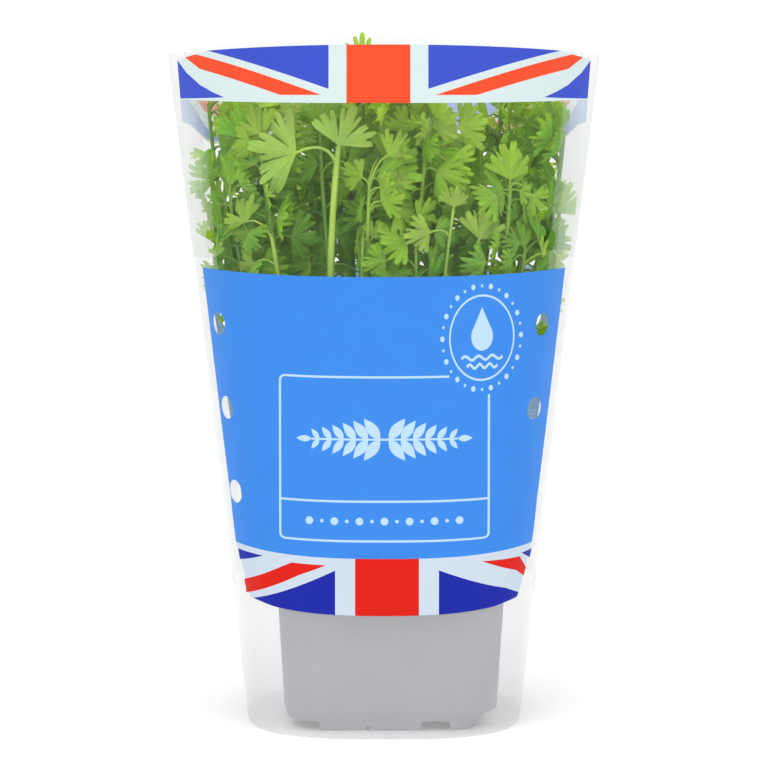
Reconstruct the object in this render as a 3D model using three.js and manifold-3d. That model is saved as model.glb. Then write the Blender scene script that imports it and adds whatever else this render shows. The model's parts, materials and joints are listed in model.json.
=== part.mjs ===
// Curly parsley growing in a square pot of compost, inside a clear printed film sleeve.
// Millimetres, +Z up. The origin is on the floor, on the sleeve's axis, and the front looks along -Y.
import * as THREE from "three";
import { mergeVertices } from "three/addons/utils/BufferGeometryUtils.js";
import Module from "manifold-3d";

const wasm = await Module();
wasm.setup();

// Driving dimensions
const FRONT = -1;
const BACK = 1;
const SLEEVE = {
  seamHeight: 298, // at the two side seams
  crown: 4.5, // rise of the mouth between its seams
  baseHalfWidth: 61.7,
  mouthHalfWidth: 96.7,
  baseHalfDepth: 62,
  mouthHalfDepth: 56,
  potShare: 0.3, // up to this share of the height the section is a rounded square round the pot
  squareBase: 2.8, // exponent of that rounded square
  squareMouth: 2,
  lensPower: 0.9, // the mouth is two bowed panels that meet in a crease
  wall: 0.6,
  seamWall: 0.8,
  levels: [0, 90, 140, 190, 240, 298],
  panelSteps: 14,
};
const VENT = {
  radius: 5,
  sides: 8,
  left: -0.88, // shares of the half width
  right: 0.84,
  heights: [105.5, 142, 178.5, 215],
  probe: 0.02, // share of the half width over which the film's direction is taken
};

const POT = {
  centre: [3, -2],
  height: 85,
  wall: 1.4,
  corner: 15,
  lipCorner: 17,
  cornerSteps: 3,
  bottomHalf: 47,
  topHalf: 51.4,
  lipHalf: 52.7,
  lipHeight: 4,
  lipSlope: 1.5, // rise of the lip's underside
  shoulder: 9, // where the side wall meets the inset foot ring
  footCentre: [0, -2], // the foot ring stands to the left of the pot's axis
  footHalf: 43,
  footTaper: 1,
  footWall: 3,
  floor: 6,
  floorThickness: 2,
  floorInset: 2, // the inside narrows by this to the floor
  floorBlend: 4,
  raisedCorner: { right: -31.5, back: 5, height: 4.2 }, // the foot at the front left ends above the floor
  footOpenings: [ // place along each side, width and height
    { at: -10, width: 1.8, height: 1.8 },
    { at: 19.8, width: 13, height: 4.3 },
  ],
  drainRadius: 4,
  drainSides: 8,
  drainOffset: 22,
};
const COMPOST = { depth: 66, fit: 0.3, bumps: 1.6, rings: [1, 0.62] };
const OVERCUT = 1; // how far a cutter runs past the face that it opens

const STALK = {
  sides: 4,
  footZ: 62, // blind end of each stalk's hole
  springZ: 78, // the stalk is straight up to here
  footRadius: 1.6,
  tipRadius: 1.1,
  spans: 4,
  holeGap: 0.45,
  lastShoot: 0.985, // the end leaflet starts just inside the stalk's tip
};
// A leaflet is a fan of three lobes with three teeth each. Bearings are in degrees from its rib.
const FAN = {
  stalkRadius: 0.9,
  rootShare: 0.6, // of that radius, where it leaves the stalk
  neckHalfWidth: 1.1,
  elbow: 0.4, // place of the small stalk's bend along it, and its rise along the main stalk
  elbowRise: 0.25,
  lobes: [-58, 0, 58],
  lobeScale: [0.9, 1, 0.9],
  teeth: [[-24, 0.86], [-12, 0.82], [0, 1], [12, 0.82], [24, 0.86]],
  notches: [[-84, 0.3], [-29, 0.38], [29, 0.38], [84, 0.3]],
  middleRadius: 0.52,
  cup: -0.2,
  pleat: 0.09,
  thickness: 0.9,
};
const GROWTH = {
  tries: 60,
  clearance: 0.5,
  filmGap: 2.2,
  lowest: 84,
  highest: 297,
  looseAfter: 12, // later tries stray by all of the spreads below, in degrees or as shares
  angleSpread: 56,
  tiltSpread: 70,
  rollSpread: 76,
  stemSpread: 0.6,
  shrink: 0.3,
};

// Leafy stems that show singly at the front. A leaflet's at is its place along the stalk and angle its
// bearing from there in degrees. stem is the length of its own small stalk, turn the blade's bearing from
// that, tilt its swing about the stalk and size its radius.
const FRONT_STEMS = [
  {
    base: [-22, -30], bend: [-26, -52, 205], top: [-19.5, -47, 256], facing: [0, -1, 0.12], thick: 1.35,
    leaflets: [
      { at: 1, angle: 0, stem: 2, size: 18 },
      { at: 0.93, angle: 78, stem: 19.5, turn: -18, tilt: -20, size: 23 },
    ],
  },
  {
    base: [-33, -22], bend: [-43, -38, 185], top: [-49, -36, 217], facing: [-0.6, -1, 0.1], thick: 1,
    leaflets: [
      { at: 1, angle: 50, stem: 15, turn: -46, size: 13 },
      { at: 0.96, angle: -30, stem: 10, turn: 24, size: 13 },
      { at: 0.82, angle: 75, stem: 12, size: 10 },
    ],
  },
  {
    base: [26, -30], bend: [34, -44, 180], top: [41, -42, 215], facing: [0.4, -1, 0.1], thick: 1,
    leaflets: [
      { at: 1, angle: -5, stem: 2, size: 15 },
      { at: 0.95, angle: -48, stem: 15, turn: 30, size: 12 },
    ],
  },
  {
    base: [18, -34], bend: [24, -48, 190], top: [30, -47, 229], facing: [0.25, -1, 0.1], thick: 0.7,
    leaflets: [
      { at: 1, angle: 0, stem: 2, size: 9 },
      { at: 0.86, angle: 80, stem: 9, size: 12 },
    ],
  },
  {
    base: [-4, -34], bend: [-9, -50, 200], top: [-6, -48, 243], facing: [0, -1, 0.15], thick: 0.8,
    leaflets: [
      { at: 1, angle: -80, stem: 3, turn: 20, size: 19 },
      { at: 0.95, angle: 30, stem: 6, size: 12 },
    ],
  },
  {
    base: [-12, -36], bend: [-10, -51, 180], top: [-9, -51, 217], facing: [0.1, -1, 0.3], thick: 0.8,
    leaflets: [
      { at: 1, angle: -125, stem: 4, size: 12 },
      { at: 0.9, angle: 100, stem: 8, size: 11 },
    ],
  },
  {
    base: [12, -12], bend: [12, -38, 225], top: [21, -41, 274], facing: [0.1, -1, 0.3], thick: 1,
    leaflets: [
      { at: 1, angle: 15, stem: 3, size: 15 },
      { at: 0.84, angle: -55, stem: 17, turn: 10, size: 14 },
    ],
  },
  {
    base: [31, -27], bend: [54, -35, 195], top: [55, -33, 240], facing: [0.6, -1, 0.15], thick: 1,
    leaflets: [
      { at: 1, angle: 0, stem: 3, size: 16 },
      { at: 0.93, angle: 75, stem: 9, size: 14 },
      { at: 0.9, angle: -75, stem: 9, tilt: 20, size: 13 },
    ],
  },
  {
    base: [36, -24], bend: [58, -32, 175], top: [62, -28, 212], facing: [0.7, -1, 0.1], thick: 0.8,
    leaflets: [
      { at: 1, angle: -10, stem: 2, size: 14 },
      { at: 0.93, angle: 80, stem: 8, size: 12 },
      { at: 0.85, angle: -80, stem: 7, size: 12 },
    ],
  },
  {
    base: [-34, -8], bend: [-66, -20, 200], top: [-68, -20, 238], facing: [-0.8, -1, 0.1], thick: 0.9,
    leaflets: [
      { at: 1, angle: 0, stem: 3, size: 15 },
      { at: 0.93, angle: -75, stem: 9, size: 13 },
      { at: 0.89, angle: 75, stem: 7, size: 11 },
    ],
  },
  {
    base: [-24, -12], bend: [-52, -30, 220], top: [-54, -29, 260], facing: [-0.5, -1, 0.2], thick: 0.9,
    leaflets: [
      { at: 1, angle: 0, stem: 3, size: 15 },
      { at: 0.92, angle: -76, stem: 10, size: 14 },
      { at: 0.88, angle: 76, stem: 8, size: 12 },
    ],
  },
  {
    base: [10, -30], bend: [14, -49, 190], top: [14, -47, 224], facing: [0.1, -1, 0.1], thick: 0.8,
    leaflets: [
      { at: 1, angle: -10, stem: 2, size: 13 },
      { at: 0.9, angle: 80, stem: 7, size: 11 },
    ],
  },
  {
    base: [-10, -14], bend: [-10, -24, 215], top: [-10, -20, 291], facing: [0, -0.8, 0.5], thick: 1,
    highest: 308,
    leaflets: [
      { at: 1, angle: 0, stem: 3, size: 15 },
      { at: 0.92, angle: 72, stem: 11, size: 15 },
      { at: 0.89, angle: -72, stem: 11, size: 15 },
    ],
  },
];

// The other stems stand on rings. share is of the sleeve's section, and the heights are taken in turn.
const RINGS = [
  {
    count: 10, share: 0.88, start: -36, step: 28, heights: [228, 262, 205, 274],
    up: 0.2, foot: 33, size: 16.5, sideLeaflets: 3,
  },
  {
    count: 8, share: 0.56, start: 10, step: 45, heights: [276, 242, 260],
    up: 0.6, foot: 21, size: 17, sideLeaflets: 2,
  },
  {
    count: 4, share: 0.22, start: 60, step: 90, heights: [285, 266],
    up: 1.2, foot: 9, size: 16, sideLeaflets: 2,
  },
];
const SIDE_LEAFLETS = [
  { at: 0.9, angle: 70, stem: 13 },
  { at: 0.86, angle: -70, stem: 13 },
  { at: 0.7, angle: 78, stem: 14 },
];
const RING_STEM = {
  azimuthSpread: 8,
  heightSpread: 10,
  shareSpread: 0.06,
  angleSpread: 24,
  endStem: 3,
  sideSizes: [0.82, 1.02], // shares of the ring's leaflet size
  thickness: [0.8, 1.1],
  bendReach: 0.94, // place of the stalk's bend, as shares of the way out and up
  bendRise: 0.62,
  facingAside: 0.6, // the leaflets look more to the panels than to the seams
  facingAhead: 0.5,
  facingSpread: 90,
};

// Numbers
const lerp = (from, to, share) => from + (to - from) * share;
const clamp01 = (value) => Math.min(1, Math.max(0, value));
const smooth = (share) => share * share * (3 - 2 * share);
const radians = THREE.MathUtils.degToRad;
const vec = (values) => new THREE.Vector3(...values);
const UP = vec([0, 0, 1]);

// A repeatable draw from 0 to 1 for whole number keys.
function draw(...keys) {
  let hash = 0x811c9dc5;
  for (const key of keys) {
    hash = Math.imul(hash ^ key, 0x01000193) >>> 0;
    hash = Math.imul(hash ^ (hash >>> 15), 0x2c1b3c6d) >>> 0;
    hash = (hash ^ (hash >>> 12)) >>> 0;
  }
  return hash / 2 ** 32;
}
const swing = (...keys) => draw(...keys) - 0.5;
const KEYS = { leaflets: 40, compost: 700 }; // first keys that keep the draws of each use apart

// Solids
function toSolid(geometry) {
  const bare = geometry.clone();
  bare.deleteAttribute("normal");
  bare.deleteAttribute("uv");
  const merged = mergeVertices(bare, 1e-4);
  return new wasm.Manifold(
    new wasm.Mesh({
      numProp: 3,
      vertProperties: merged.attributes.position.array,
      triVerts: new Uint32Array(merged.index.array),
    }),
  );
}

function toGeometry(solid) {
  const mesh = solid.getMesh();
  const geometry = new THREE.BufferGeometry();
  geometry.setAttribute("position", new THREE.BufferAttribute(mesh.vertProperties, 3));
  geometry.setIndex(new THREE.BufferAttribute(mesh.triVerts, 1));
  geometry.computeVertexNormals();
  return geometry;
}

function indexed(points, triangles) {
  const geometry = new THREE.BufferGeometry().setFromPoints(points);
  geometry.setIndex(triangles);
  return geometry;
}

// Triangles between rings of count points each that follow one another in a point list.
function sideTriangles(ringCount, count, looped = false) {
  const triangles = [];
  const spans = looped ? ringCount : ringCount - 1;
  for (let i = 0; i < spans; i++) {
    const low = i * count;
    const high = ((i + 1) % ringCount) * count;
    for (let j = 0; j < count; j++) {
      const next = (j + 1) % count;
      triangles.push(low + j, low + next, high + next, low + j, high + next, high + j);
    }
  }
  return triangles;
}

function startCap(count) {
  const triangles = [];
  for (let j = 1; j < count - 1; j++) triangles.push(0, j + 1, j);
  return triangles;
}

function endCap(first, count) {
  const triangles = [];
  for (let j = 1; j < count - 1; j++) triangles.push(first, first + j, first + j + 1);
  return triangles;
}

function loft(...rings) {
  const count = rings[0].length;
  const caps = [...startCap(count), ...endCap((rings.length - 1) * count, count)];
  return indexed(rings.flat(), [...sideTriangles(rings.length, count), ...caps]);
}

// The rings of a tapering stick through points, with their first corner turned to face side.
function stickRings(points, radii, sides, side) {
  return points.map((point, i) => {
    const before = points[Math.max(0, i - 1)];
    const after = points[Math.min(points.length - 1, i + 1)];
    const along = after.clone().sub(before).normalize();
    const across = new THREE.Vector3().crossVectors(side, along).normalize();
    const out = new THREE.Vector3().crossVectors(along, across);
    return Array.from({ length: sides }, (_, j) => {
      const turn = (2 * Math.PI * j) / sides;
      return point
        .clone()
        .addScaledVector(across, radii[i] * Math.cos(turn))
        .addScaledVector(out, radii[i] * Math.sin(turn));
    });
  });
}

// Sleeve
function sleeveSection(z) {
  const share = clamp01(z / SLEEVE.seamHeight);
  const flattening = smooth(clamp01((share - SLEEVE.potShare) / (1 - SLEEVE.potShare)));
  return {
    halfWidth: lerp(SLEEVE.baseHalfWidth, SLEEVE.mouthHalfWidth, share),
    halfDepth: lerp(SLEEVE.baseHalfDepth, SLEEVE.mouthHalfDepth, share * share),
    square: lerp(SLEEVE.squareBase, SLEEVE.squareMouth, flattening),
    power: lerp(1 / SLEEVE.squareBase, SLEEVE.lensPower, flattening),
  };
}

// A panel's depth as a share of its half depth, at a share of its half width.
const bow = (section, across) =>
  Math.pow(Math.max(0, 1 - Math.pow(Math.abs(across), section.square)), section.power);

function sleevePoint(across, level, side, inset = 0) {
  const crown = level === SLEEVE.seamHeight ? SLEEVE.crown * (1 - across * across) : 0;
  const section = sleeveSection(level);
  return new THREE.Vector3(
    (section.halfWidth - inset * SLEEVE.seamWall) * across,
    side * (section.halfDepth - inset * SLEEVE.wall) * bow(section, across),
    level + crown,
  );
}

function sleeveRing(level, inset) {
  const ring = [];
  for (const side of [FRONT, BACK]) {
    for (let i = 0; i < SLEEVE.panelSteps; i++) {
      const across = -side * Math.sin(Math.PI * (i / SLEEVE.panelSteps - 0.5));
      ring.push(sleevePoint(across, level, side, inset));
    }
  }
  return ring;
}

function ventCutter(across, z, side) {
  const centre = sleevePoint(across, z, side);
  const along = sleevePoint(across + VENT.probe, z, side).sub(centre);
  const out = new THREE.Vector3(along.y, -along.x, 0).normalize();
  const cutter = new THREE.CylinderGeometry(VENT.radius, VENT.radius, 4 * VENT.radius, VENT.sides);
  cutter.applyQuaternion(new THREE.Quaternion().setFromUnitVectors(new THREE.Vector3(0, 1, 0), out));
  cutter.translate(centre.x, centre.y, centre.z);
  return toSolid(cutter);
}

function buildSleeve() {
  const outer = SLEEVE.levels.map((level) => sleeveRing(level, 0));
  const inner = SLEEVE.levels.map((level) => sleeveRing(level, 1)).reverse();
  const rings = [...outer, ...inner];
  const film = toSolid(indexed(rings.flat(), sideTriangles(rings.length, rings[0].length, true)));
  const vents = VENT.heights.flatMap((z, i) => {
    const row = [ventCutter(VENT.left, z, FRONT), ventCutter(VENT.left, z, BACK)];
    row.push(ventCutter(VENT.right, z, BACK));
    if (i > 0) row.push(ventCutter(VENT.right, z, FRONT));
    return row;
  });
  return film.subtract(wasm.Manifold.union(vents));
}

// True where a point lies inside the film with the growth gap to spare.
function insideFilm(point) {
  const section = sleeveSection(point.z);
  const across = point.x / (section.halfWidth - GROWTH.filmGap);
  if (Math.abs(across) >= 1) return false;
  return Math.abs(point.y) <= (section.halfDepth - GROWTH.filmGap) * bow(section, across);
}

// Pot and compost
function squareRing(half, corner, z, centre = POT.centre) {
  const ring = [];
  for (let quarter = 0; quarter < 4; quarter++) {
    const middle = (quarter + 0.5) * (Math.PI / 2);
    const x = centre[0] + Math.sign(Math.cos(middle)) * (half - corner);
    const y = centre[1] + Math.sign(Math.sin(middle)) * (half - corner);
    for (let i = 0; i <= POT.cornerSteps; i++) {
      const turn = (quarter + i / POT.cornerSteps) * (Math.PI / 2);
      ring.push(new THREE.Vector3(x + corner * Math.cos(turn), y + corner * Math.sin(turn), z));
    }
  }
  return ring;
}

function wallHalf(z) {
  const share = (z - POT.shoulder) / (POT.height - POT.shoulder);
  return lerp(POT.bottomHalf, POT.topHalf, share);
}

function block(x, y, z, sizeX, sizeY, sizeZ) {
  const box = new THREE.BoxGeometry(sizeX, sizeY, sizeZ);
  box.translate(POT.centre[0] + x, POT.centre[1] + y, z);
  return toSolid(box);
}

// Cuts right through the foot ring, front to back and side to side.
function footCuts() {
  const span = 3 * POT.footHalf;
  const { right, back, height: rise } = POT.raisedCorner;
  const cuts = POT.footOpenings.flatMap(({ at, width, height }) => [
    block(at, 0, (height - OVERCUT) / 2, width, span, height + OVERCUT),
    block(0, at, (height - OVERCUT) / 2, span, width, height + OVERCUT),
  ]);
  const [acrossX, acrossY] = [span / 2 + right, span / 2 + back];
  const middle = [right - acrossX / 2, back - acrossY / 2, (rise - OVERCUT) / 2];
  cuts.push(block(...middle, acrossX, acrossY, rise + OVERCUT));
  return cuts;
}

function drainHoles() {
  const places = [[0, 0], [1, 1], [1, -1], [-1, 1], [-1, -1]];
  return places.map(([x, y]) => {
    const depth = 2 * (POT.floorThickness + OVERCUT);
    const hole = new THREE.CylinderGeometry(POT.drainRadius, POT.drainRadius, depth, POT.drainSides);
    hole.rotateX(Math.PI / 2);
    hole.translate(POT.centre[0] + x * POT.drainOffset, POT.centre[1] + y * POT.drainOffset, POT.floor);
    return toSolid(hole);
  });
}

function buildPot() {
  const { corner, shoulder, footHalf, footWall, height, lipHalf, lipHeight, wall, floor } = POT;
  const atFoot = POT.footCentre;
  const body = loft(
    squareRing(footHalf, corner, floor - POT.footTaper, atFoot),
    squareRing(wallHalf(shoulder), corner, shoulder),
    squareRing(wallHalf(height), corner, height),
  );
  const lipBase = height - lipHeight;
  const lip = loft(
    squareRing(wallHalf(lipBase) - wall / 2, corner, lipBase - POT.lipSlope),
    squareRing(lipHalf, POT.lipCorner, lipBase),
    squareRing(lipHalf, POT.lipCorner, height),
  );
  const feet = loft(
    squareRing(footHalf - POT.footTaper, corner, 0, atFoot),
    squareRing(footHalf, corner, floor, atFoot),
  );
  const inner = corner - wall;
  const cavity = loft(
    squareRing(wallHalf(shoulder) - wall - POT.floorInset, inner, floor + POT.floorThickness),
    squareRing(wallHalf(shoulder + POT.floorBlend) - wall, inner, shoulder + POT.floorBlend),
    squareRing(wallHalf(height + OVERCUT) - wall, inner, height + OVERCUT),
  );
  const recess = loft(
    squareRing(footHalf - footWall - POT.footTaper, corner - footWall, -OVERCUT, atFoot),
    squareRing(footHalf - footWall, corner - footWall, floor - POT.footTaper / 2, atFoot),
  );
  return wasm.Manifold.union([body, lip, feet].map(toSolid))
    .subtract(toSolid(cavity))
    .subtract(wasm.Manifold.union([toSolid(recess), ...footCuts(), ...drainHoles()]));
}

function buildCompost(stems) {
  const floorZ = POT.floor + POT.floorThickness + COMPOST.fit;
  const topZ = floorZ + COMPOST.depth;
  const inner = POT.corner - POT.wall;
  const halfAt = (z) => wallHalf(z) - POT.wall - COMPOST.fit;
  const surface = COMPOST.rings.map((share, i) =>
    squareRing(halfAt(topZ) * share, POT.corner * share, topZ).map((point, j) => {
      if (i > 0) point.z += COMPOST.bumps * swing(KEYS.compost + i, j);
      return point;
    }),
  );
  const ball = loft(
    squareRing(halfAt(POT.shoulder) - POT.floorInset, inner, floorZ),
    squareRing(halfAt(POT.shoulder + POT.floorBlend), inner, POT.shoulder + POT.floorBlend),
    ...surface,
  );
  const holes = stems.map((stem) => {
    const radius = stem.footRadius + STALK.holeGap;
    const heights = [STALK.footZ - COMPOST.fit, topZ + COMPOST.bumps + OVERCUT];
    const ends = heights.map((z) => vec([...stem.base, z]));
    return toSolid(loft(...stickRings(ends, [radius, radius], STALK.sides, stem.outward)));
  });
  return toSolid(ball).subtract(wasm.Manifold.union(holes));
}

// Stems
function ringStems() {
  const { sideSizes, thickness, bendReach, bendRise, facingAside, facingAhead } = RING_STEM;
  const stems = [];
  for (const ring of RINGS) {
    for (let i = 0; i < ring.count; i++) {
      const key = stems.length;
      const azimuth = radians(ring.start + i * ring.step + RING_STEM.azimuthSpread * swing(key, 1));
      const height = ring.heights[i % ring.heights.length] + RING_STEM.heightSpread * swing(key, 2);
      const reach = ring.share + RING_STEM.shareSpread * swing(key, 3);
      const [x, y] = [Math.cos(azimuth), Math.sin(azimuth)];
      const facing = new THREE.Vector3(facingAside * x, y + facingAhead * (y < 0 ? FRONT : BACK), ring.up);
      facing.applyAxisAngle(UP, radians(RING_STEM.facingSpread * swing(key, 7)));
      const section = sleeveSection(height);
      const depth = section.halfDepth * bow(section, reach * x);
      const top = [reach * x * section.halfWidth, reach * y * depth, height];
      const angle = RING_STEM.angleSpread * swing(key, 4);
      const end = { at: 1, angle, stem: RING_STEM.endStem, size: ring.size };
      const sides = SIDE_LEAFLETS.slice(0, ring.sideLeaflets).map((side, j) => {
        return { ...side, size: ring.size * lerp(...sideSizes, draw(key, 5, j)) };
      });
      stems.push({
        base: [POT.centre[0] + x * ring.foot, y * ring.foot],
        bend: [bendReach * top[0], bendReach * top[1], lerp(STALK.springZ, height, bendRise)],
        top,
        facing: facing.toArray(),
        thick: lerp(...thickness, draw(key, 6)),
        leaflets: [end, ...sides],
      });
    }
  }
  return stems;
}

// Works out a stem's curve, directions and radii from its measures.
function planStem(measures, index) {
  const spring = vec([...measures.base, STALK.springZ]);
  const curve = new THREE.QuadraticBezierCurve3(spring, vec(measures.bend), vec(measures.top));
  const footRadius = STALK.footRadius * measures.thick;
  const tipRadius = STALK.tipRadius * measures.thick;
  const points = [vec([...measures.base, STALK.footZ]), ...curve.getPoints(STALK.spans)];
  const radii = points.map((_, i) => lerp(footRadius, tipRadius, Math.max(0, i - 1) / STALK.spans));
  const [x, y] = measures.facing;
  return {
    ...measures,
    index,
    curve,
    points,
    radii,
    footRadius,
    outward: new THREE.Vector3(x, y, 0).normalize(),
    facing: vec(measures.facing).normalize(),
  };
}

// Where a leaflet would grow at a given try: its small stalk's path and its blade's own directions.
function planLeaflet(stem, slot, attempt) {
  const measures = { turn: 0, tilt: 0, ...stem.leaflets[slot] };
  const loose = Math.min(1, attempt / GROWTH.looseAfter);
  const keys = [KEYS.leaflets + stem.index, slot, attempt];
  const start = stem.curve.getPoint(Math.min(measures.at, STALK.lastShoot));
  const along = stem.curve.getTangent(measures.at);
  const facing = stem.facing.clone().addScaledVector(along, -stem.facing.dot(along)).normalize();
  facing.applyAxisAngle(along, radians(measures.tilt + loose * GROWTH.tiltSpread * swing(...keys, 1)));
  const angle = radians(measures.angle + loose * GROWTH.angleSpread * swing(...keys, 2));
  const heading = along.clone().applyAxisAngle(facing, angle);
  const length = measures.stem * (1 + loose * GROWTH.stemSpread * swing(...keys, 3));
  const size = measures.size * (1 - loose * GROWTH.shrink * draw(...keys, 4));
  const end = start.clone().addScaledVector(heading, length);
  const middle = start.clone().addScaledVector(heading, FAN.elbow * length);
  middle.addScaledVector(along, FAN.elbowRise * length);
  const ahead = end.clone().sub(middle).normalize();
  const upright = facing.clone().addScaledVector(ahead, -facing.dot(ahead)).normalize();
  upright.applyAxisAngle(ahead, radians(loose * GROWTH.rollSpread * swing(...keys, 5)));
  ahead.applyAxisAngle(upright, radians(measures.turn));
  const across = new THREE.Vector3().crossVectors(upright, ahead);
  return { start, middle, end, ahead, across, upright, size };
}

// The toothed edge of a fan and then the middles of its lobes, as bearings and shares of its radius.
const FAN_EDGE = FAN.lobes.flatMap((lobe, i) => [
  FAN.notches[i],
  ...FAN.teeth.map(([offset, share]) => [lobe + offset, share * FAN.lobeScale[i]]),
]);
FAN_EDGE.push(FAN.notches.at(-1));
const FAN_OUTLINE = [...FAN_EDGE, ...FAN.lobes.map((lobe) => [lobe, FAN.middleRadius])];

function fanPoint(plan, [bearing, share], lift) {
  const turn = radians(bearing);
  const pleat = FAN.pleat * share * Math.cos((2 * Math.PI * bearing) / FAN.lobes.at(-1));
  return plan.end
    .clone()
    .addScaledVector(plan.ahead, plan.size * share * Math.cos(turn))
    .addScaledVector(plan.across, plan.size * share * Math.sin(turn))
    .addScaledVector(plan.upright, plan.size * (FAN.cup * share * share + pleat) + lift);
}

// Faces of a fan over the points of FAN_OUTLINE. The base is its point on the small stalk.
function fanFaces(base, first) {
  const lobeSpan = FAN.teeth.length + 1;
  return FAN.lobes.flatMap((_, lobe) => {
    const middle = first + FAN_EDGE.length + lobe;
    const start = first + lobe * lobeSpan;
    const faces = [[base, start, middle], [base, middle, start + lobeSpan]];
    for (let j = start; j < start + lobeSpan; j++) faces.push([middle, j, j + 1]);
    return faces;
  });
}

// A four-sided stalk whose last ring opens into the two faces of a blade.
function leaflet(plan, spare = 0) {
  const lift = FAN.thickness / 2 + spare;
  const neck = FAN.neckHalfWidth + spare;
  const radius = FAN.stalkRadius + spare;
  const path = [plan.start, plan.middle, plan.end];
  const rings = stickRings(path, [radius * FAN.rootShare, radius, radius], 4, plan.upright);
  const { across, upright } = plan;
  const neckRing = [[across, neck], [upright, lift], [across, -neck], [upright, -lift]];
  rings[2] = neckRing.map(([direction, offset]) => plan.end.clone().addScaledVector(direction, offset));
  const [right, top, left, bottom] = [8, 9, 10, 11];
  const upper = 12;
  const lower = upper + FAN_OUTLINE.length;
  const grown = { ...plan, size: plan.size + spare };
  const faces = [...fanFaces(top, upper)];
  faces.push(...fanFaces(bottom, lower).map(([a, b, c]) => [a, c, b]));
  for (let j = 0; j < FAN_EDGE.length - 1; j++) {
    faces.push([upper + j, lower + j, lower + j + 1], [upper + j, lower + j + 1, upper + j + 1]);
  }
  const upperLast = upper + FAN_EDGE.length - 1;
  const lowerLast = lower + FAN_EDGE.length - 1;
  faces.push([left, bottom, lower], [left, lower, upper], [left, upper, top]);
  faces.push([right, top, upperLast], [right, upperLast, lowerLast], [right, lowerLast, bottom]);
  const points = [
    ...rings.flat(),
    ...FAN_OUTLINE.map((place) => fanPoint(grown, place, lift)),
    ...FAN_OUTLINE.map((place) => fanPoint(grown, place, -lift)),
  ];
  return indexed(points, [...sideTriangles(3, 4), ...startCap(4), ...faces.flat()]);
}

function isInRange(plan, highest) {
  const points = [plan.middle, plan.end, ...FAN_EDGE.map((place) => fanPoint(plan, place, 0))];
  return points.every((point) => point.z > GROWTH.lowest && point.z < highest && insideFilm(point));
}

// Grows every stem: all the stalks first, then each leaflet at its first try that is clear of the rest.
function growStems(stems) {
  const standing = [];
  const place = (owner, kind, geometry) => {
    geometry.computeBoundingBox();
    standing.push({ owner, kind, box: geometry.boundingBox, solid: toSolid(geometry) });
  };
  const isClear = (owner, probe) => {
    probe.computeBoundingBox();
    const solid = toSolid(probe);
    return standing.every((item) => {
      if (item.owner === owner && item.kind === "stalk") return true;
      return !item.box.intersectsBox(probe.boundingBox) || solid.intersect(item.solid).isEmpty();
    });
  };
  for (const stem of stems) {
    place(stem.index, "stalk", loft(...stickRings(stem.points, stem.radii, STALK.sides, stem.outward)));
  }
  for (const stem of stems) {
    const highest = stem.highest ?? GROWTH.highest;
    for (let slot = 0; slot < stem.leaflets.length; slot++) {
      for (let attempt = 0; attempt < GROWTH.tries; attempt++) {
        const plan = planLeaflet(stem, slot, attempt);
        if (!isInRange(plan, highest) || !isClear(stem.index, leaflet(plan, GROWTH.clearance))) continue;
        place(stem.index, "leaflet", leaflet(plan));
        break;
      }
    }
  }
  return stems.map((stem) => {
    const own = standing.filter((item) => item.owner === stem.index);
    return wasm.Manifold.union(own.map((item) => item.solid));
  });
}

// Assembly
const finish = (color, roughness) => new THREE.MeshStandardMaterial({ color, roughness, metalness: 0 });
const FILM = finish(0xeef1f2, 0.12);
FILM.transparent = true;
FILM.opacity = 0.25;
const POT_PLASTIC = finish(0xb4b4b9, 0.55);
const PEAT = finish(0x3b2a1e, 0.95);
const LEAF = finish(0x5f9a36, 0.6);

const group = new THREE.Group();
function add(name, solid, material) {
  const mesh = new THREE.Mesh(toGeometry(solid), material);
  mesh.name = name;
  group.add(mesh);
}

const stems = [...FRONT_STEMS, ...ringStems()].map(planStem);
add("sleeve", buildSleeve(), FILM);
add("pot", buildPot(), POT_PLASTIC);
add("compost", buildCompost(stems), PEAT);
growStems(stems).forEach((solid, i) => {
  add(`leafy_stem_${String(i + 1).padStart(2, "0")}`, solid, LEAF);
});

export default group;
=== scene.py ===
"""Looks of a curly parsley in a square pot, inside a clear printed film sleeve.

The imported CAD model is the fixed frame. Sizes are in millimetres, and meshes are made in metres.
The origin is on the floor on the sleeve's axis, +Z is up and the printed front looks along -Y.
"""

from __future__ import annotations

import json
import logging
import math
from collections.abc import Iterator
from dataclasses import dataclass, field
from enum import Enum

import bmesh
import bpy
import numpy as np
from mathutils import Matrix, Vector
from mathutils.bvhtree import BVHTree
from mathutils.geometry import delaunay_2d_cdt
from mathutils.kdtree import KDTree

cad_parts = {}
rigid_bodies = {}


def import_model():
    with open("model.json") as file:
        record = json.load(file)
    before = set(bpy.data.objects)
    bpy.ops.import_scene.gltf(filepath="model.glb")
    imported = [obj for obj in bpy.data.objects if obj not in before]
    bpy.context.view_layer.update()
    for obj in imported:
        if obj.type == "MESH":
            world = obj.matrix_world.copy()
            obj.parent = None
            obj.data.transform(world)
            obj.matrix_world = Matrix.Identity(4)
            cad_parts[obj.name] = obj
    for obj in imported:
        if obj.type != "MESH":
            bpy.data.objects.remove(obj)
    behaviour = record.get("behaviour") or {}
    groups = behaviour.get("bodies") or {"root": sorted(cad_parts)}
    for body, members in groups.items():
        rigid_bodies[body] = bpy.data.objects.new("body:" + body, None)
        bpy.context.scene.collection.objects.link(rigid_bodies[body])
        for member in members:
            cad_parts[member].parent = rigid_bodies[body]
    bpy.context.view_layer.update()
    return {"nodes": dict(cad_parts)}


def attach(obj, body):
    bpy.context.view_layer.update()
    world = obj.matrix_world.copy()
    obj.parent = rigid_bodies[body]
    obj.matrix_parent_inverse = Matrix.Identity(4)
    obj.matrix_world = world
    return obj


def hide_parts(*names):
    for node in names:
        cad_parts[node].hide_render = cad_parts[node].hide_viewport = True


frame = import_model()

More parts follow.
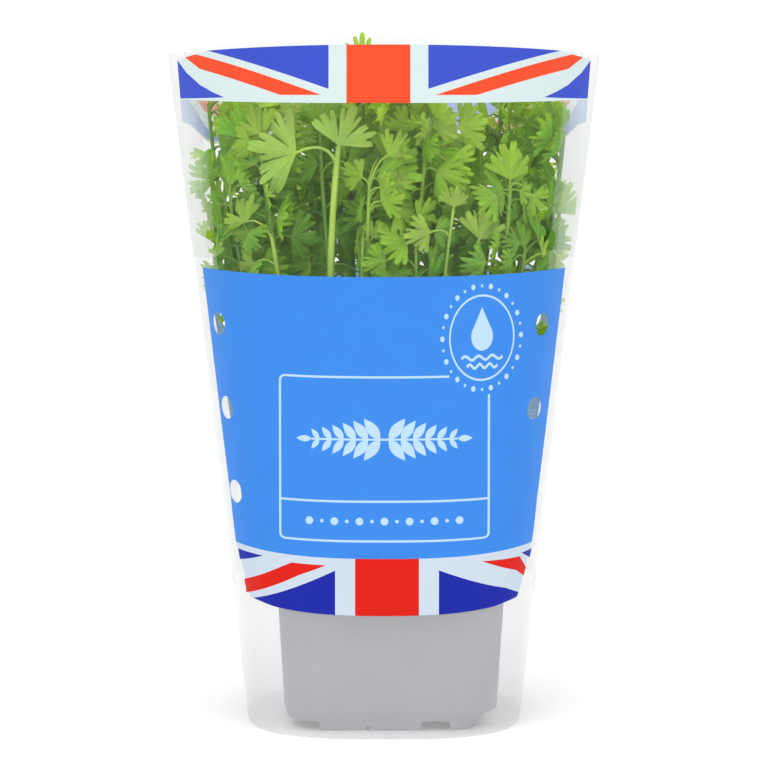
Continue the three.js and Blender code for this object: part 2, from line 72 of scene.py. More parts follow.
LOG = logging.getLogger("potted_parsley")
MM = 0.001
ROOT = "root"
UP = np.array([0.0, 0.0, 1.0])
HASH_START, HASH_PRIME, HASH_MIX, HASH_MASK = 0x811C9DC5, 0x01000193, 0x2C1B3C6D, 0xFFFFFFFF
FINGER_ANGLE = 19.3  # degrees between the midribs of a leaflet's fingers
FINGERS = 9  # three on each of a leaflet's three lobes
MIDDLE_FINGER = FINGERS / 2

Point = tuple[float, float]
Color = tuple[float, float, float, float]
Inputs = dict[str | int, object]
Triangle = tuple[int, int, int]


# Numbers


def lerp(low: float, high: float, share: float) -> float:
    """Return the value at a share of the way from low to high."""
    return low + (high - low) * share


def curved(start: np.ndarray, middle: np.ndarray, end: np.ndarray, share: float) -> np.ndarray:
    """Return the point at a share of a curve that the middle point pulls towards itself."""
    rest = 1 - share
    return rest * rest * start + 2 * rest * share * middle + share * share * end


def clamp01(value: float) -> float:
    """Return the value held between 0 and 1."""
    return min(1.0, max(0.0, value))


def smooth(share: float) -> float:
    """Return the smooth step of a share from 0 to 1."""
    return share * share * (3 - 2 * share)


def draw(*keys: int) -> float:
    """Draw a repeatable number from 0 to 1.

    Args:
        *keys: Whole numbers that name the draw.

    Returns:
        The same number for the same keys, as in the part's source.
    """
    value = HASH_START
    for key in keys:
        value = ((value ^ key) * HASH_PRIME) & HASH_MASK
        value = ((value ^ (value >> 15)) * HASH_MIX) & HASH_MASK
        value = value ^ (value >> 12)
    return value / 2**32


def swing(*keys: int) -> float:
    """Return a repeatable draw from -0.5 to 0.5."""
    return draw(*keys) - 0.5


def unit(vector: np.ndarray) -> np.ndarray:
    """Return the vector at length 1."""
    return vector / np.linalg.norm(vector)


def turned(vector: np.ndarray, axis: np.ndarray, degrees: float) -> np.ndarray:
    """Turn a vector about an axis.

    Args:
        vector: The vector to turn.
        axis: A unit axis through the origin.
        degrees: Right-handed turn.

    Returns:
        The turned vector.
    """
    turn = math.radians(degrees)
    straight = vector * math.cos(turn) + np.cross(axis, vector) * math.sin(turn)
    return straight + axis * np.dot(axis, vector) * (1 - math.cos(turn))


def linear(red: int, green: int, blue: int) -> Color:
    """Turn a display colour into a linear one.

    Args:
        red: Display value from 0 to 255.
        green: Display value from 0 to 255.
        blue: Display value from 0 to 255.

    Returns:
        Linear red, green, blue and an alpha of 1.
    """
    shares = [value / 255 for value in (red, green, blue)]
    channels = [s / 12.92 if s <= 0.04045 else ((s + 0.055) / 1.055) ** 2.4 for s in shares]
    return (channels[0], channels[1], channels[2], 1.0)


def seen(red: int, green: int, blue: int) -> Color:
    """Return the ink that shows as a display colour in the studio's light."""
    studio, gloss, darkest = 1.3, 0.009, 0.002
    return (*[max(darkest, channel / studio - gloss) for channel in linear(red, green, blue)[:3]], 1.0)


# Nodes


class NodeWriter:
    """Writes a node tree in short calls that give each node its properties and inputs."""

    def __init__(self, tree: bpy.types.NodeTree) -> None:
        """Write into a tree."""
        self.tree = tree

    def fill(self, node: bpy.types.Node, inputs: Inputs) -> None:
        """Set a node's inputs.

        Args:
            node: The node.
            inputs: For an input's name or number its value, the output it reads, or a list of outputs.
        """
        for label, value in inputs.items():
            for item in value if isinstance(value, list) else [value]:
                if isinstance(item, bpy.types.NodeSocket):
                    self.tree.links.new(item, node.inputs[label])
                else:
                    node.inputs[label].default_value = item

    def node(self, kind: str, inputs: Inputs | None = None, **settings: object) -> bpy.types.Node:
        """Add a node.

        Args:
            kind: Its type.
            inputs: What its inputs get, as for fill.
            **settings: Its properties.

        Returns:
            The node.
        """
        made = self.tree.nodes.new(kind)
        for label, value in settings.items():
            setattr(made, label, value)
        self.fill(made, inputs or {})
        return made

    def value(
        self, kind: str, inputs: Inputs | None = None, output: str | int = 0, **settings: object
    ) -> bpy.types.NodeSocket:
        """Add a node as node does, and return its first output or the one that is named."""
        return self.node(kind, inputs, **settings).outputs[output]


class NodeTree(NodeWriter):
    """A Geometry Nodes tree with named inputs."""

    number_least, number_most, number_result = 2, 3, 1  # a random number's inputs and output, by number

    def __init__(self, name: str, inputs: dict[str, str]) -> None:
        """Make the tree.

        Args:
            name: The tree's name.
            inputs: Kind of each named input after the geometry.
        """
        super().__init__(bpy.data.node_groups.new(name, "GeometryNodeTree"))
        face = self.tree.interface
        self.sockets = {
            label: face.new_socket(label, in_out="INPUT", socket_type=f"NodeSocket{kind}")
            for label, kind in {"Geometry": "Geometry", **inputs}.items()
        }
        face.new_socket("Geometry", in_out="OUTPUT", socket_type="NodeSocketGeometry")
        self.given = self.tree.nodes.new("NodeGroupInput").outputs

    def named(self, label: str, kind: str) -> bpy.types.NodeSocket:
        """Return the value of a stored attribute of that name and data type."""
        return self.value("GeometryNodeInputNamedAttribute", {"Name": label}, data_type=kind)

    def close(self, geometry: bpy.types.NodeSocket) -> None:
        """Make a geometry the tree's result."""
        self.node("NodeGroupOutput", {"Geometry": geometry})

    def apply_to(self, carrier: bpy.types.Object, values: dict[str, object], name: str) -> bpy.types.Object:
        """Run the tree on an object and keep the result as a plain mesh.

        Args:
            carrier: The object that carries the input geometry. It is removed.
            values: A value for each named input.
            name: Name of the result.

        Returns:
            The plain object.
        """
        modifier = carrier.modifiers.new("nodes", "NODES")
        modifier.node_group = self.tree
        for label, value in values.items():
            modifier[self.sockets[label].identifier] = value
        return baked(carrier, name)


class ShaderTree(NodeWriter):
    """A new material's nodes about its one shader."""

    mix_first, mix_second, mix_result = 6, 7, 2  # a colour mix's inputs and output, by number

    def __init__(self, name: str, inputs: Inputs) -> None:
        """Make the material.

        Args:
            name: Its name.
            inputs: What the shader's own inputs get.
        """
        self.material = bpy.data.materials.new(name)
        self.material.use_nodes = True
        super().__init__(self.material.node_tree)
        self.shader = self.tree.nodes["Principled BSDF"]
        self.fill(self.shader, inputs)
        self.place = self.value("ShaderNodeTexCoord", output="Object")

    def noise(self, scale: float, detail: float = 2.0) -> bpy.types.NodeSocket:
        """Return a noise over the piece's own coordinates."""
        return self.value("ShaderNodeTexNoise", {"Vector": self.place, "Scale": scale, "Detail": detail})

    def sum(self, operation: str, first: object, second: object = 0.0) -> bpy.types.NodeSocket:
        """Return the result of a sum of two outputs or numbers."""
        return self.value("ShaderNodeMath", {0: first, 1: second}, operation=operation)

    def stored(self, name: str, output: str) -> bpy.types.NodeSocket:
        """Return a stored attribute as a number or a vector."""
        return self.value("ShaderNodeAttribute", output=output, attribute_name=name)

    def ramp(self, value: bpy.types.NodeSocket, stops: list[tuple[float, Color]]) -> bpy.types.NodeSocket:
        """Return a colour that runs through stops.

        Args:
            value: The number that it follows.
            stops: Position and colour of each stop.

        Returns:
            The colour.
        """
        node = self.node("ShaderNodeValToRGB", {"Fac": value})
        elements = node.color_ramp.elements
        while len(elements) < len(stops):
            elements.new(1.0)
        for element, (position, color) in zip(elements, stops):
            element.position = position
            element.color = color
        return node.outputs["Color"]

    def roughen(self, scale: float, detail: float, strength: float, height: float) -> None:
        """Give the surface a fine grain.

        Args:
            scale: Scale of its noise.
            detail: Detail of its noise.
            strength: How strongly it shows.
            height: Its height in metres.
        """
        grain = {"Height": self.noise(scale, detail), "Strength": strength, "Distance": height}
        self.fill(self.shader, {"Normal": self.value("ShaderNodeBump", grain)})


# Finishes


@dataclass(frozen=True)
class Finish:
    """A plain node-based finish with a little unevenness in colour, gloss and surface."""

    name: str
    color: Color
    roughness: float = 0.5
    alpha: float = 1.0
    mottle: float = 0.05
    mottle_scale: float = 90.0
    mottle_stops: tuple[float, float] = (0.3, 0.7)
    roughness_spread: float = 0.05
    least_roughness: float = 0.02
    bump: float = 0.0
    bump_scale: float = 400.0
    bump_height: float = 0.0004
    ior: float = 1.49
    specular: float = 0.5
    # Painted light: an emission glow at a share of the colour.
    glow: float = 0.0  # light that comes through from behind, as a share of the colour

    def build(self) -> bpy.types.Material:
        """Build the finish.

        Returns:
            A new material.
        """
        tree = ShaderTree(self.name, {
            "IOR": self.ior,
            "Emission Color": self.color,
            "Emission Strength": self.glow,
            "Alpha": self.alpha,
            "Specular IOR Level": self.specular,
        })
        mottle = tree.noise(self.mottle_scale, 4)
        stops = [
            (position, (*[min(1.0, channel * (1 + side * self.mottle)) for channel in self.color[:3]], 1))
            for position, side in zip(self.mottle_stops, (-1, 1))
        ]
        gloss = tree.value("ShaderNodeMapRange", {
            "Value": mottle,
            "To Min": max(self.least_roughness, self.roughness - self.roughness_spread),
            "To Max": self.roughness + self.roughness_spread,
        })
        tree.fill(tree.shader, {"Base Color": tree.ramp(mottle, stops), "Roughness": gloss})
        if self.bump > 0:
            tree.roughen(self.bump_scale, 3, self.bump, self.bump_height)
        return tree.material


@dataclass(frozen=True)
class LeafFinish:
    """Parsley green from deep to pale by tint, with fine veins that follow the leaflet's lobes."""

    name: str
    stops: tuple[tuple[float, Color], ...]
    vein_color: Color
    cool_color: Color = (0.06, 0.24, 0.05, 1)
    cool_scale: float = 26.0
    cool_depth: float = 2.4
    patch_scale: float = 110.0
    patch_depth: float = 0.3
    vein_weight: float = 0.3
    vein_width: float = 0.022  # share of the leaflet's radius
    roughness: float = 0.5
    specular: float = 0.3
    subsurface: float = 0.0
    subsurface_radius: tuple[float, float, float] = (0.8, 1.0, 0.3)
    subsurface_scale: float = 0.003
    grain: float = 0.25
    grain_scale: float = 900.0
    grain_height: float = 0.0003

    def build(self) -> bpy.types.Material:
        """Build the finish.

        Returns:
            A new material.
        """
        tree = ShaderTree(self.name, {
            "Roughness": self.roughness,
            "Specular IOR Level": self.specular,
            "Subsurface Weight": self.subsurface,
            "Subsurface Radius": self.subsurface_radius,
            "Subsurface Scale": self.subsurface_scale,
        })
        patches = tree.sum("SUBTRACT", tree.noise(self.patch_scale, 3), 0.5)
        wander = tree.sum("MULTIPLY", patches, self.patch_depth)
        color = tree.ramp(tree.sum("ADD", tree.stored("tint", "Fac"), wander), self.stops)
        regions = tree.sum("SUBTRACT", tree.noise(self.cool_scale), 0.5)
        coolness = tree.sum("MULTIPLY", regions, self.cool_depth)
        coolness.node.use_clamp = True
        polar = tree.node("ShaderNodeSeparateXYZ", {"Vector": tree.stored("polar", "Vector")}).outputs
        finger = tree.sum("ABSOLUTE", tree.sum("SUBTRACT", tree.sum("FRACT", polar["X"]), 0.5))
        aside = tree.sum("MULTIPLY", finger, tree.sum("MULTIPLY", polar["Y"], math.radians(FINGER_ANGLE)))
        fade = {"Value": aside, "From Max": self.vein_width, "To Min": self.vein_weight, "To Max": 0.0}
        vein = tree.value("ShaderNodeMapRange", fade, interpolation_type="SMOOTHSTEP")
        veined = tree.sum("MULTIPLY", vein, polar["Z"])
        for share, other in ((coolness, self.cool_color), (veined, self.vein_color)):
            both = {"Factor": share, tree.mix_first: color, tree.mix_second: other}
            color = tree.value("ShaderNodeMix", both, tree.mix_result, data_type="RGBA")
        tree.fill(tree.shader, {"Base Color": color})
        tree.roughen(self.grain_scale, 2, self.grain, self.grain_height)
        return tree.material


# Film finishes: the clear film, then films that grow paler and more opaque towards the seams as painted
# reflection of the white studio where the film turns away; the side film also serves the cloudier film low
# down.
CLEAR_FILM = Finish("clear_film", (0.4, 0.41, 0.41, 1), roughness=0.12, alpha=0.022, mottle=0.02)
TURNING_FILM = Finish("hazed_film_turning", (0.66, 0.68, 0.67, 1), roughness=0.16, alpha=0.09, mottle=0.02)
SIDE_FILM = Finish("hazed_film_side", (0.75, 0.765, 0.755, 1), roughness=0.18, alpha=0.175, mottle=0.02)
EDGE_FILM = Finish("hazed_film_edge", (0.82, 0.835, 0.825, 1), roughness=0.2, alpha=0.205, mottle=0.02)
POT_PLASTIC = Finish(
    "grey_pot_plastic", linear(139, 137, 147), mottle=0.015, specular=0.3, bump=0.0025, bump_scale=2000
)
PEAT = Finish(
    "peat_compost", (0.035, 0.021, 0.013, 1), roughness=0.92, mottle=0.45, mottle_scale=420,
    bump=0.9, bump_scale=700,
)
STALK_GREEN = LeafFinish(
    "stalk_green",
    stops=((0.0, linear(84, 128, 36)), (0.45, linear(124, 164, 52)), (1.0, linear(172, 200, 80))),
    vein_color=linear(190, 214, 112),
    vein_weight=0.0,
    roughness=0.42,
    grain=0.15,
)
LEAF_GREEN = LeafFinish(
    "leaf_green",
    stops=(
        (0.0, linear(71, 131, 10)), (0.3, linear(97, 158, 16)), (0.55, linear(124, 175, 28)),
        (0.8, linear(140, 180, 54)), (1.0, linear(148, 187, 76)),
    ),
    vein_color=linear(176, 206, 100),
    cool_color=linear(64, 134, 48),
    roughness=0.55,
    subsurface=0.8,
)


# Meshes


def new_object(name: str, mesh: bpy.types.Mesh) -> bpy.types.Object:
    """Put a mesh into the scene.

    Args:
        name: The object's name.
        mesh: Its mesh.

    Returns:
        The linked object, at the origin.
    """
    mesh.name = name
    piece = bpy.data.objects.new(name, mesh)
    bpy.context.collection.objects.link(piece)
    return piece


def mesh_from(points: np.ndarray, faces: list[tuple[int, ...]]) -> bpy.types.Mesh:
    """Make a mesh of points in millimetres.

    Args:
        points: One row of x, y and z for each vertex.
        faces: Vertex numbers of each face, in order round it.

    Returns:
        A smooth-shaded mesh in metres.
    """
    mesh = bpy.data.meshes.new("mesh")
    mesh.from_pydata((np.asarray(points, float) * MM).tolist(), [], faces)
    mesh.update()
    mesh.shade_smooth()
    return mesh


def baked(carrier: bpy.types.Object, name: str) -> bpy.types.Object:
    """Turn an object with live modifiers into a plain one and remove the first.

    Args:
        carrier: The object whose evaluated mesh is kept.
        name: Name of the plain object.

    Returns:
        The plain object.
    """
    graph = bpy.context.evaluated_depsgraph_get()
    mesh = bpy.data.meshes.new_from_object(carrier.evaluated_get(graph), depsgraph=graph)
    old = carrier.data
    bpy.data.objects.remove(carrier)
    if old.users == 0:
        bpy.data.meshes.remove(old)
    return new_object(name, mesh)


def cut_by(body: bpy.types.Object, cutters: list[bpy.types.Object], name: str) -> bpy.types.Object:
    """Cut closed solids out of a closed body.

    Args:
        body: The solid that is cut.
        cutters: The solids that are taken away. They are removed.
        name: Name of the result.

    Returns:
        The cut body.
    """
    for cutter in cutters:
        modifier = body.modifiers.new("cut", "BOOLEAN")
        modifier.operation = "DIFFERENCE"
        modifier.solver = "EXACT"
        modifier.object = cutter
    result = baked(body, name)
    for cutter in cutters:
        bpy.data.objects.remove(cutter)
    return result


def loft(rings: list[np.ndarray]) -> bpy.types.Mesh:
    """Join rings of the same count into a closed solid.

    Args:
        rings: Rings in order. Each runs counter-clockwise as it is looked at from the last ring's end.

    Returns:
        The mesh, with its first and last ring closed.
    """
    count = len(rings[0])
    faces: list[tuple[int, ...]] = []
    for i in range(len(rings) - 1):
        for j in range(count):
            following = (j + 1) % count
            low, high = i * count, (i + 1) * count
            faces.append((low + j, low + following, high + following, high + j))
    faces.append(tuple(reversed(range(count))))
    faces.append(tuple((len(rings) - 1) * count + j for j in range(count)))
    return mesh_from(np.concatenate(rings), faces)


def store(mesh: bpy.types.Mesh, name: str, kind: str, values: list, domain: str = "POINT") -> None:
    """Store an attribute on a mesh.

    Args:
        mesh: The mesh.
        name: The attribute's name.
        kind: Its data type.
        values: Its values in order, a vector's numbers one after the other.
        domain: What carries it.
    """
    label = "vector" if kind == "FLOAT_VECTOR" else "value"
    mesh.attributes.new(name, kind, domain).data.foreach_set(label, values)


def two_skins(
    outer: np.ndarray, inner: np.ndarray, faces: list[Triangle]
) -> tuple[bpy.types.Mesh, list[int]]:
    """Join two skins by walls along their open edges, which stay sharp.

    Args:
        outer: Points of the outer skin, in millimetres.
        inner: The same points on the inner skin.
        faces: Triangles of the outer skin, turned outwards.

    Returns:
        The closed mesh, and the number of the triangle beside each wall.
    """
    count = len(outer)
    owners = {pair: number for number, face in enumerate(faces) for pair in zip(face, face[1:] + face[:1])}
    rim = [pair for pair in owners if pair[::-1] not in owners]
    skins = faces + [(c + count, b + count, a + count) for a, b, c in faces]
    walls = [(b, a, a + count, b + count) for a, b in rim]
    mesh = mesh_from(np.concatenate([outer, inner]), skins + walls)
    sharp = {frozenset((a + skin, b + skin)) for a, b in rim for skin in (0, count)}
    store(mesh, "sharp_edge", "BOOLEAN", [frozenset(edge.vertices) in sharp for edge in mesh.edges], "EDGE")
    return mesh, [owners[pair] for pair in rim]


# Sleeve


class Side(Enum):
    """The two panels of the sleeve, by the sign of their depth."""

    FRONT = -1
    BACK = 1


@dataclass
class SleeveForm:
    """The film sleeve's form, as in the part's source."""

    seam_height: float = 298
    crown: float = 4.5
    crown_from: float = 240
    base_half_width: float = 61.7
    mouth_half_width: float = 96.7
    base_half_depth: float = 62
    mouth_half_depth: float = 56
    pot_share: float = 0.3
    square_base: float = 2.8
    square_mouth: float = 2
    lens_power: float = 0.9
    vent_radius: float = 5
    vent_left: float = -0.88
    vent_right: float = 0.84
    vent_heights: tuple[float, ...] = (105.5, 142, 178.5, 215)
    vent_reach: float = 0.16  # share of the half width about a vent's centre that is measured
    vent_steps: int = 160
    last_share: float = 0.999  # just short of the seam
    pressed_share: float = 0.985  # share of the inner half width that leaves keep to

    def measures(self, share: float, flattening: float) -> tuple[float, float, float, float]:
        """Describe a section, by numbers or by arrays of them.

        Args:
            share: Share of the height.
            flattening: Share of the change from the square base to the lens-shaped mouth.

        Returns:
            Half width, half depth and the two exponents of the bow.
        """
        flattening = smooth(flattening)
        return (
            lerp(self.base_half_width, self.mouth_half_width, share),
            lerp(self.base_half_depth, self.mouth_half_depth, share * share),
            lerp(self.square_base, self.square_mouth, flattening),
            lerp(1 / self.square_base, self.lens_power, flattening),
        )

    def section(self, z: float) -> tuple[float, float, float, float]:
        """Return the measures of the section at a height."""
        share = clamp01(z / self.seam_height)
        return self.measures(share, clamp01((share - self.pot_share) / (1 - self.pot_share)))

    def bow(self, section: tuple[float, float, float, float], across: float) -> float:
        """Return the depth at a share of the half width, as a share of the half depth."""
        return max(0.0, 1 - abs(across) ** section[2]) ** section[3]

    def half_width(self, z: float) -> float:
        """Return the half width at a height."""
        return self.section(z)[0]

    def top(self, across: float) -> float:
        """Return the mouth's height at a share of the half width."""
        return self.seam_height + self.crown * (1 - across * across)

    def level(self, across: float, z: float) -> float:
        """Follow the crown that lifts the mouth.

        Args:
            across: Share of the half width.
            z: Height.

        Returns:
            The height whose section holds there.
        """
        if z <= self.crown_from:
            return z
        span = self.seam_height - self.crown_from
        return self.crown_from + (z - self.crown_from) * span / (self.top(across) - self.crown_from)

    def point(self, across: float, z: float, side: Side, inset: float) -> np.ndarray:
        """Place a point on a panel.

        Args:
            across: Share of the half width, from -1 to 1.
            z: Height.
            side: Which panel.
            inset: Distance in from the film's outer face.

        Returns:
            The point.
        """
        section = self.section(self.level(across, z))
        depth = (section[1] - inset) * self.bow(section, across)
        return np.array([(section[0] - inset) * across, side.value * depth, z])

    def inside(self, point: np.ndarray, gap: float) -> bool:
        """Tell if a point is inside the film with a gap to spare.

        Args:
            point: The point.
            gap: The gap.

        Returns:
            True where it is.
        """
        section = self.section(float(point[2]))
        across = point[0] / (section[0] - gap)
        return abs(across) < 1 and abs(point[1]) <= (section[1] - gap) * self.bow(section, across)

    def press_in(self, mesh: bpy.types.Mesh, gap: float, reach: float = 1.5) -> None:
        """Bend what comes too near the film back inside it, as leaves do that press on it.

        Args:
            mesh: The mesh in metres.
            gap: Least distance to the film's outer face, in millimetres.
            reach: Distance over which the bend starts.
        """
        flat = np.empty(3 * len(mesh.vertices))
        mesh.vertices.foreach_get("co", flat)
        points = flat.reshape(-1, 3) / MM
        share = np.clip(points[:, 2] / self.seam_height, 0, 1)
        flattening = np.clip((share - self.pot_share) / (1 - self.pot_share), 0, 1)
        width, depth, square, power = self.measures(share, flattening)
        for axis in (0, 1):
            if axis == 0:
                limit = self.pressed_share * (width - gap)
            else:
                limit = (depth - gap) * (1 - np.abs(points[:, 0] / (width - gap)) ** square) ** power
            start = np.maximum(0, limit - reach)
            over = np.maximum(0, np.abs(points[:, axis]) - start)
            held = start + (limit - start) * (1 - np.exp(-over / np.maximum(limit - start, 1e-6)))
            points[:, axis] = np.where(over > 0, np.sign(points[:, axis]) * held, points[:, axis])
        mesh.vertices.foreach_set("co", (points * MM).ravel())
        mesh.update()

    def vents(self, side: Side) -> list[list[Point]]:
        """List the vents of a panel.

        Args:
            side: Which panel. The front lacks the lowest vent at the right.

        Returns:
            The outline of each.
        """
        rights = self.vent_heights if side is Side.BACK else self.vent_heights[1:]
        places = [(self.vent_left, z) for z in self.vent_heights] + [(self.vent_right, z) for z in rights]
        return [self.vent_outline(across, z, side) for across, z in places]

    def vent_outline(self, across: float, z: float, side: Side, count: int = 28) -> list[Point]:
        """Lay a round hole on the bowed film.

        Args:
            across: Share of the half width at the hole's centre.
            z: Height of its centre.
            side: Which panel.
            count: Points round the hole.

        Returns:
            Shares of the half width and heights round the hole.
        """
        start = max(-self.last_share, across - self.vent_reach)
        places = np.linspace(start, min(self.last_share, across + self.vent_reach), self.vent_steps)
        line = np.array([self.point(place, z, side, 0.0) for place in places])
        run = np.concatenate([[0], np.cumsum(np.linalg.norm(np.diff(line, axis=0), axis=1))])
        ring = disc(np.interp(across, places, run), z, self.vent_radius, count)
        return [(float(np.interp(along, run, places)), height) for along, height in ring]


SLEEVE = SleeveForm()


class Ink(Enum):
    """The printed inks, each with the colour of its face and of its back, which is paler as painted light
    that comes through the ink.
    """

    GROUND = (seen(212, 226, 239), linear(238, 242, 248))
    BLUE = (seen(70, 145, 239), linear(176, 206, 244))
    NAVY = (seen(40, 50, 171), linear(150, 160, 226))
    RED = (seen(230, 43, 34), linear(240, 150, 146))
    # The upper flag's inks are lighter copies of the lower flag's: painted light on the band round the
    # mouth.
    UPPER_GROUND = (seen(223, 239, 239), linear(240, 244, 250))
    UPPER_NAVY = (seen(72, 91, 210), linear(176, 190, 244))
    UPPER_RED = (seen(254, 89, 57), linear(252, 172, 168))
    PALE_LINE = (seen(196, 228, 250), linear(176, 206, 244))


def disc(x: float, y: float, radius: float, count: int = 12) -> list[Point]:
    """Return points round a circle."""
    turns = [2 * math.pi * i / count for i in range(count)]
    return [(x + radius * math.cos(turn), y + radius * math.sin(turn)) for turn in turns]


def arc(x: float, y: float, radius: float, start: float, end: float, count: int) -> list[Point]:
    """Return points along an arc between two bearings in degrees."""
    turns = [math.radians(lerp(start, end, i / count)) for i in range(count + 1)]
    return [(x + radius * math.cos(turn), y + radius * math.sin(turn)) for turn in turns]


def box(left: float, low: float, right: float, high: float) -> list[Point]:
    """Return the corners of an upright rectangle."""
    return [(left, low), (right, low), (right, high), (left, high)]


def leaf_outline(x: float, z: float, length: float, width: float, degrees: float) -> list[Point]:
    """Outline a pointed leaf that starts at a place.

    Args:
        x: The place across.
        z: The place up.
        length: Length of the leaf.
        width: Its greatest width.
        degrees: The direction that it points in.

    Returns:
        Points round the leaf.
    """
    turn = math.radians(degrees)
    half, fullness = 7, 0.85
    points = []
    for i in range(2 * half):
        share = i / half if i < half else (2 * half - i) / half
        aside = width / 2 * math.sin(math.pi * share**fullness) * (-1 if i < half else 1)
        points.append((
            x + length * share * math.cos(turn) - aside * math.sin(turn),
            z + length * share * math.sin(turn) + aside * math.cos(turn),
        ))
    return points


def stroke(line: list[Point], width: float) -> list[list[Point]]:
    """Give an open line a width.

    Args:
        line: Its points.
        width: Its width.

    Returns:
        One four-sided area for each stretch, a little longer than the stretch.
    """
    areas, longer = [], 0.2
    for (x0, z0), (x1, z1) in zip(line, line[1:]):
        length = math.hypot(x1 - x0, z1 - z0)
        side_x, side_z = (z0 - z1) / length * width / 2, (x1 - x0) / length * width / 2
        cap_x, cap_z = (x1 - x0) / length * width * longer, (z1 - z0) / length * width * longer
        areas.append([
            (x + end * cap_x + side * side_x, z + end * cap_z + side * side_z)
            for x, z, end, side in ((x0, z0, -1, -1), (x1, z1, 1, -1), (x1, z1, 1, 1), (x0, z0, -1, 1))
        ])
    return areas


@dataclass
class FilmPrint:
    """The print on one panel: flag bands, a wide blue band, a framed ornament and a round badge.

    Its measures are in millimetres across and up on the flat film, before the film's bow lifts them.
    """

    side: Side
    mirror: bool = False
    sag_power: float = 2.6
    sags: tuple[Point, ...] = ((54, 6.7), (78.8, 5), (88, 3), (200, 2.8), (274.4, 2.9), (299.2, -2))
    drop: float = 0.0  # how far the upper flag band hangs lower than on the front
    drop_from: float = 205  # height where that starts
    drop_over: float = 60
    end_rise: float = 0.45  # share of that drop that is lost towards the sleeve's side folds
    ends: Point = (0.83, 0.13)  # where the rise starts, and over what share of the half width
    below_mouth: float = 0.8
    last_share: float = 0.995
    short: float = 9  # longest stretch that small shapes need, since theirs are shorter
    areas: list[tuple[Ink, list[Point]]] = field(default_factory=list)

    def add(self, ink: Ink, corners: list[Point], step: float = 3.0) -> None:
        """Add a printed area over those before it, with points along its edges to follow the bow.

        Args:
            ink: Its ink.
            corners: Its corners.
            step: Longest stretch of its outline.
        """
        points = []
        for (x0, z0), (x1, z1) in zip(corners, corners[1:] + corners[:1]):
            count = max(1, math.ceil(math.hypot(x1 - x0, z1 - z0) / step))
            points += [(lerp(x0, x1, j / count), lerp(z0, z1, j / count)) for j in range(count)]
        self.areas.append((ink, points))

    def upper_flag(self) -> None:
        """Add the upper half of a union flag round the mouth, in the lighter inks that carry painted light.
        """
        centre, half, low, high = -2.4, 13.7, 274.4, 299.2
        ground = [(-90.6, low), (90.6, low), (92, 295.8), (78, high), (-78, high), (-92, 295.8)]
        self.add(Ink.UPPER_GROUND, ground)
        self.add(Ink.UPPER_RED, box(centre - half, low, centre + half, high))
        for sign in (-1, 1):
            inner = centre + sign * 21.4
            self.add(Ink.UPPER_NAVY, [(inner, 280.4), (sign * 78, high), (inner, high)])
            corner = [(92, 295.6), (87.7, 288.8), (81.4, 282.4), (75.9, 279), (70, 276.3), (90.8, 275)]
            self.add(Ink.UPPER_NAVY, [(sign * x, z) for x, z in corner])
            self.add(Ink.UPPER_RED, [
                (sign * 88.3, 296.8), (sign * 83.2, 297.8), (centre + sign * 24.5, 277.8),
                (centre + sign * 42.6, 277.8), (sign * 81.4, 290.4),
            ])

    def lower_flag(self) -> None:
        """Add the lower half of a union flag under the blue band."""
        centre, half, low, high = 1.3, 13.8, 54.0, 79.2
        left, right, inner = centre - 22.4, centre + 22.4, 73.4
        for ink, corners in (
            (Ink.GROUND, [(-58.6, 55), (-48, low), (48, low), (58.6, 55), (65, high), (-65, high)]),
            (Ink.RED, box(centre - half, low, centre + half, high)),
            (Ink.NAVY, [(left, inner), (-57.2, 55), (-48, low), (left, low)]),
            (Ink.NAVY, [(right, inner), (53, 61.2), (59, 57), (58.2, 55), (48, low), (right, low)]),
            (Ink.RED, [(-61.4, 62.4), (-60.4, 56.2), (-36.4, 70.4), (-25, 75.5), (-40, 75.4), (-44, 73.2)]),
            (Ink.RED, [(42.4, 75.6), (57.7, 68), (61.4, 64), (62.4, 67.6), (59.4, 74)]),
            (Ink.NAVY, [(-64.2, 76), (-63.4, 71), (-52.6, 76.2)]),
            (Ink.NAVY, [(65, 75.6), (60.2, 75.4), (64.2, 71.6)]),
        ):
            self.add(ink, corners)

    def bands(self) -> None:
        """Add the two flag bands and the wide blue band between them."""
        self.upper_flag()
        self.lower_flag()
        right = [(65.2, 78.8), (67.4, 100), (80.6, 200.2)]
        self.add(Ink.BLUE, [(-65.2, 78.8)] + right + [(-x, z) for x, z in reversed(right[1:])])

    def outline(
        self, left: float, right: float, low: float, high: float, rows: list[float], gap: bool
    ) -> None:
        """Add a thin rounded frame with lines across it.

        Args:
            left: Left edge.
            right: Right edge.
            low: Lower edge.
            high: Upper edge.
            rows: Heights of the lines across.
            gap: True where the upper right corner is left open for the badge.
        """
        width, corner = 0.95, 2.2
        open_from, open_to = 27.9, high - 8.6
        path = arc(left + corner, high - corner, corner, 90, 180, 4)
        path += arc(left + corner, low + corner, corner, 180, 270, 4)
        path += arc(right - corner, low + corner, corner, 270, 360, 4)
        if gap:
            path = [(open_from, high)] + path + [(right, open_to)]
        else:
            path += arc(right - corner, high - corner, corner, 0, 90, 4) + [path[0]]
        for line in [path] + [[(left, row), (right, row)] for row in rows]:
            for area in stroke(line, width):
                self.add(Ink.PALE_LINE, area)

    def sprig(self, x: float, z: float, reach: float) -> None:
        """Add a plain sprig: a long stalk with paired leaves that get smaller to its ends.

        Args:
            x: Its middle across.
            z: Its height.
            reach: Half the stalk's length.
        """
        pairs, first, lean, half_stalk = 6, 0.35, 52, 0.45
        self.add(Ink.PALE_LINE, box(x - reach, z - half_stalk, x + reach, z + half_stalk))
        for sign, tip in ((-1, 180), (1, 0)):
            for i in range(pairs):
                place, size = x + sign * reach * (i + first) / pairs, lerp(11.5, 5.5, i / (pairs - 1))
                for bearing in (lean, -lean) if sign > 0 else (180 - lean, 180 + lean):
                    leaf = leaf_outline(place, z, size, size * 0.42, bearing)
                    self.add(Ink.PALE_LINE, leaf, self.short)
            self.add(Ink.PALE_LINE, leaf_outline(x + sign * reach, z, 6.5, 2.8, tip), self.short)

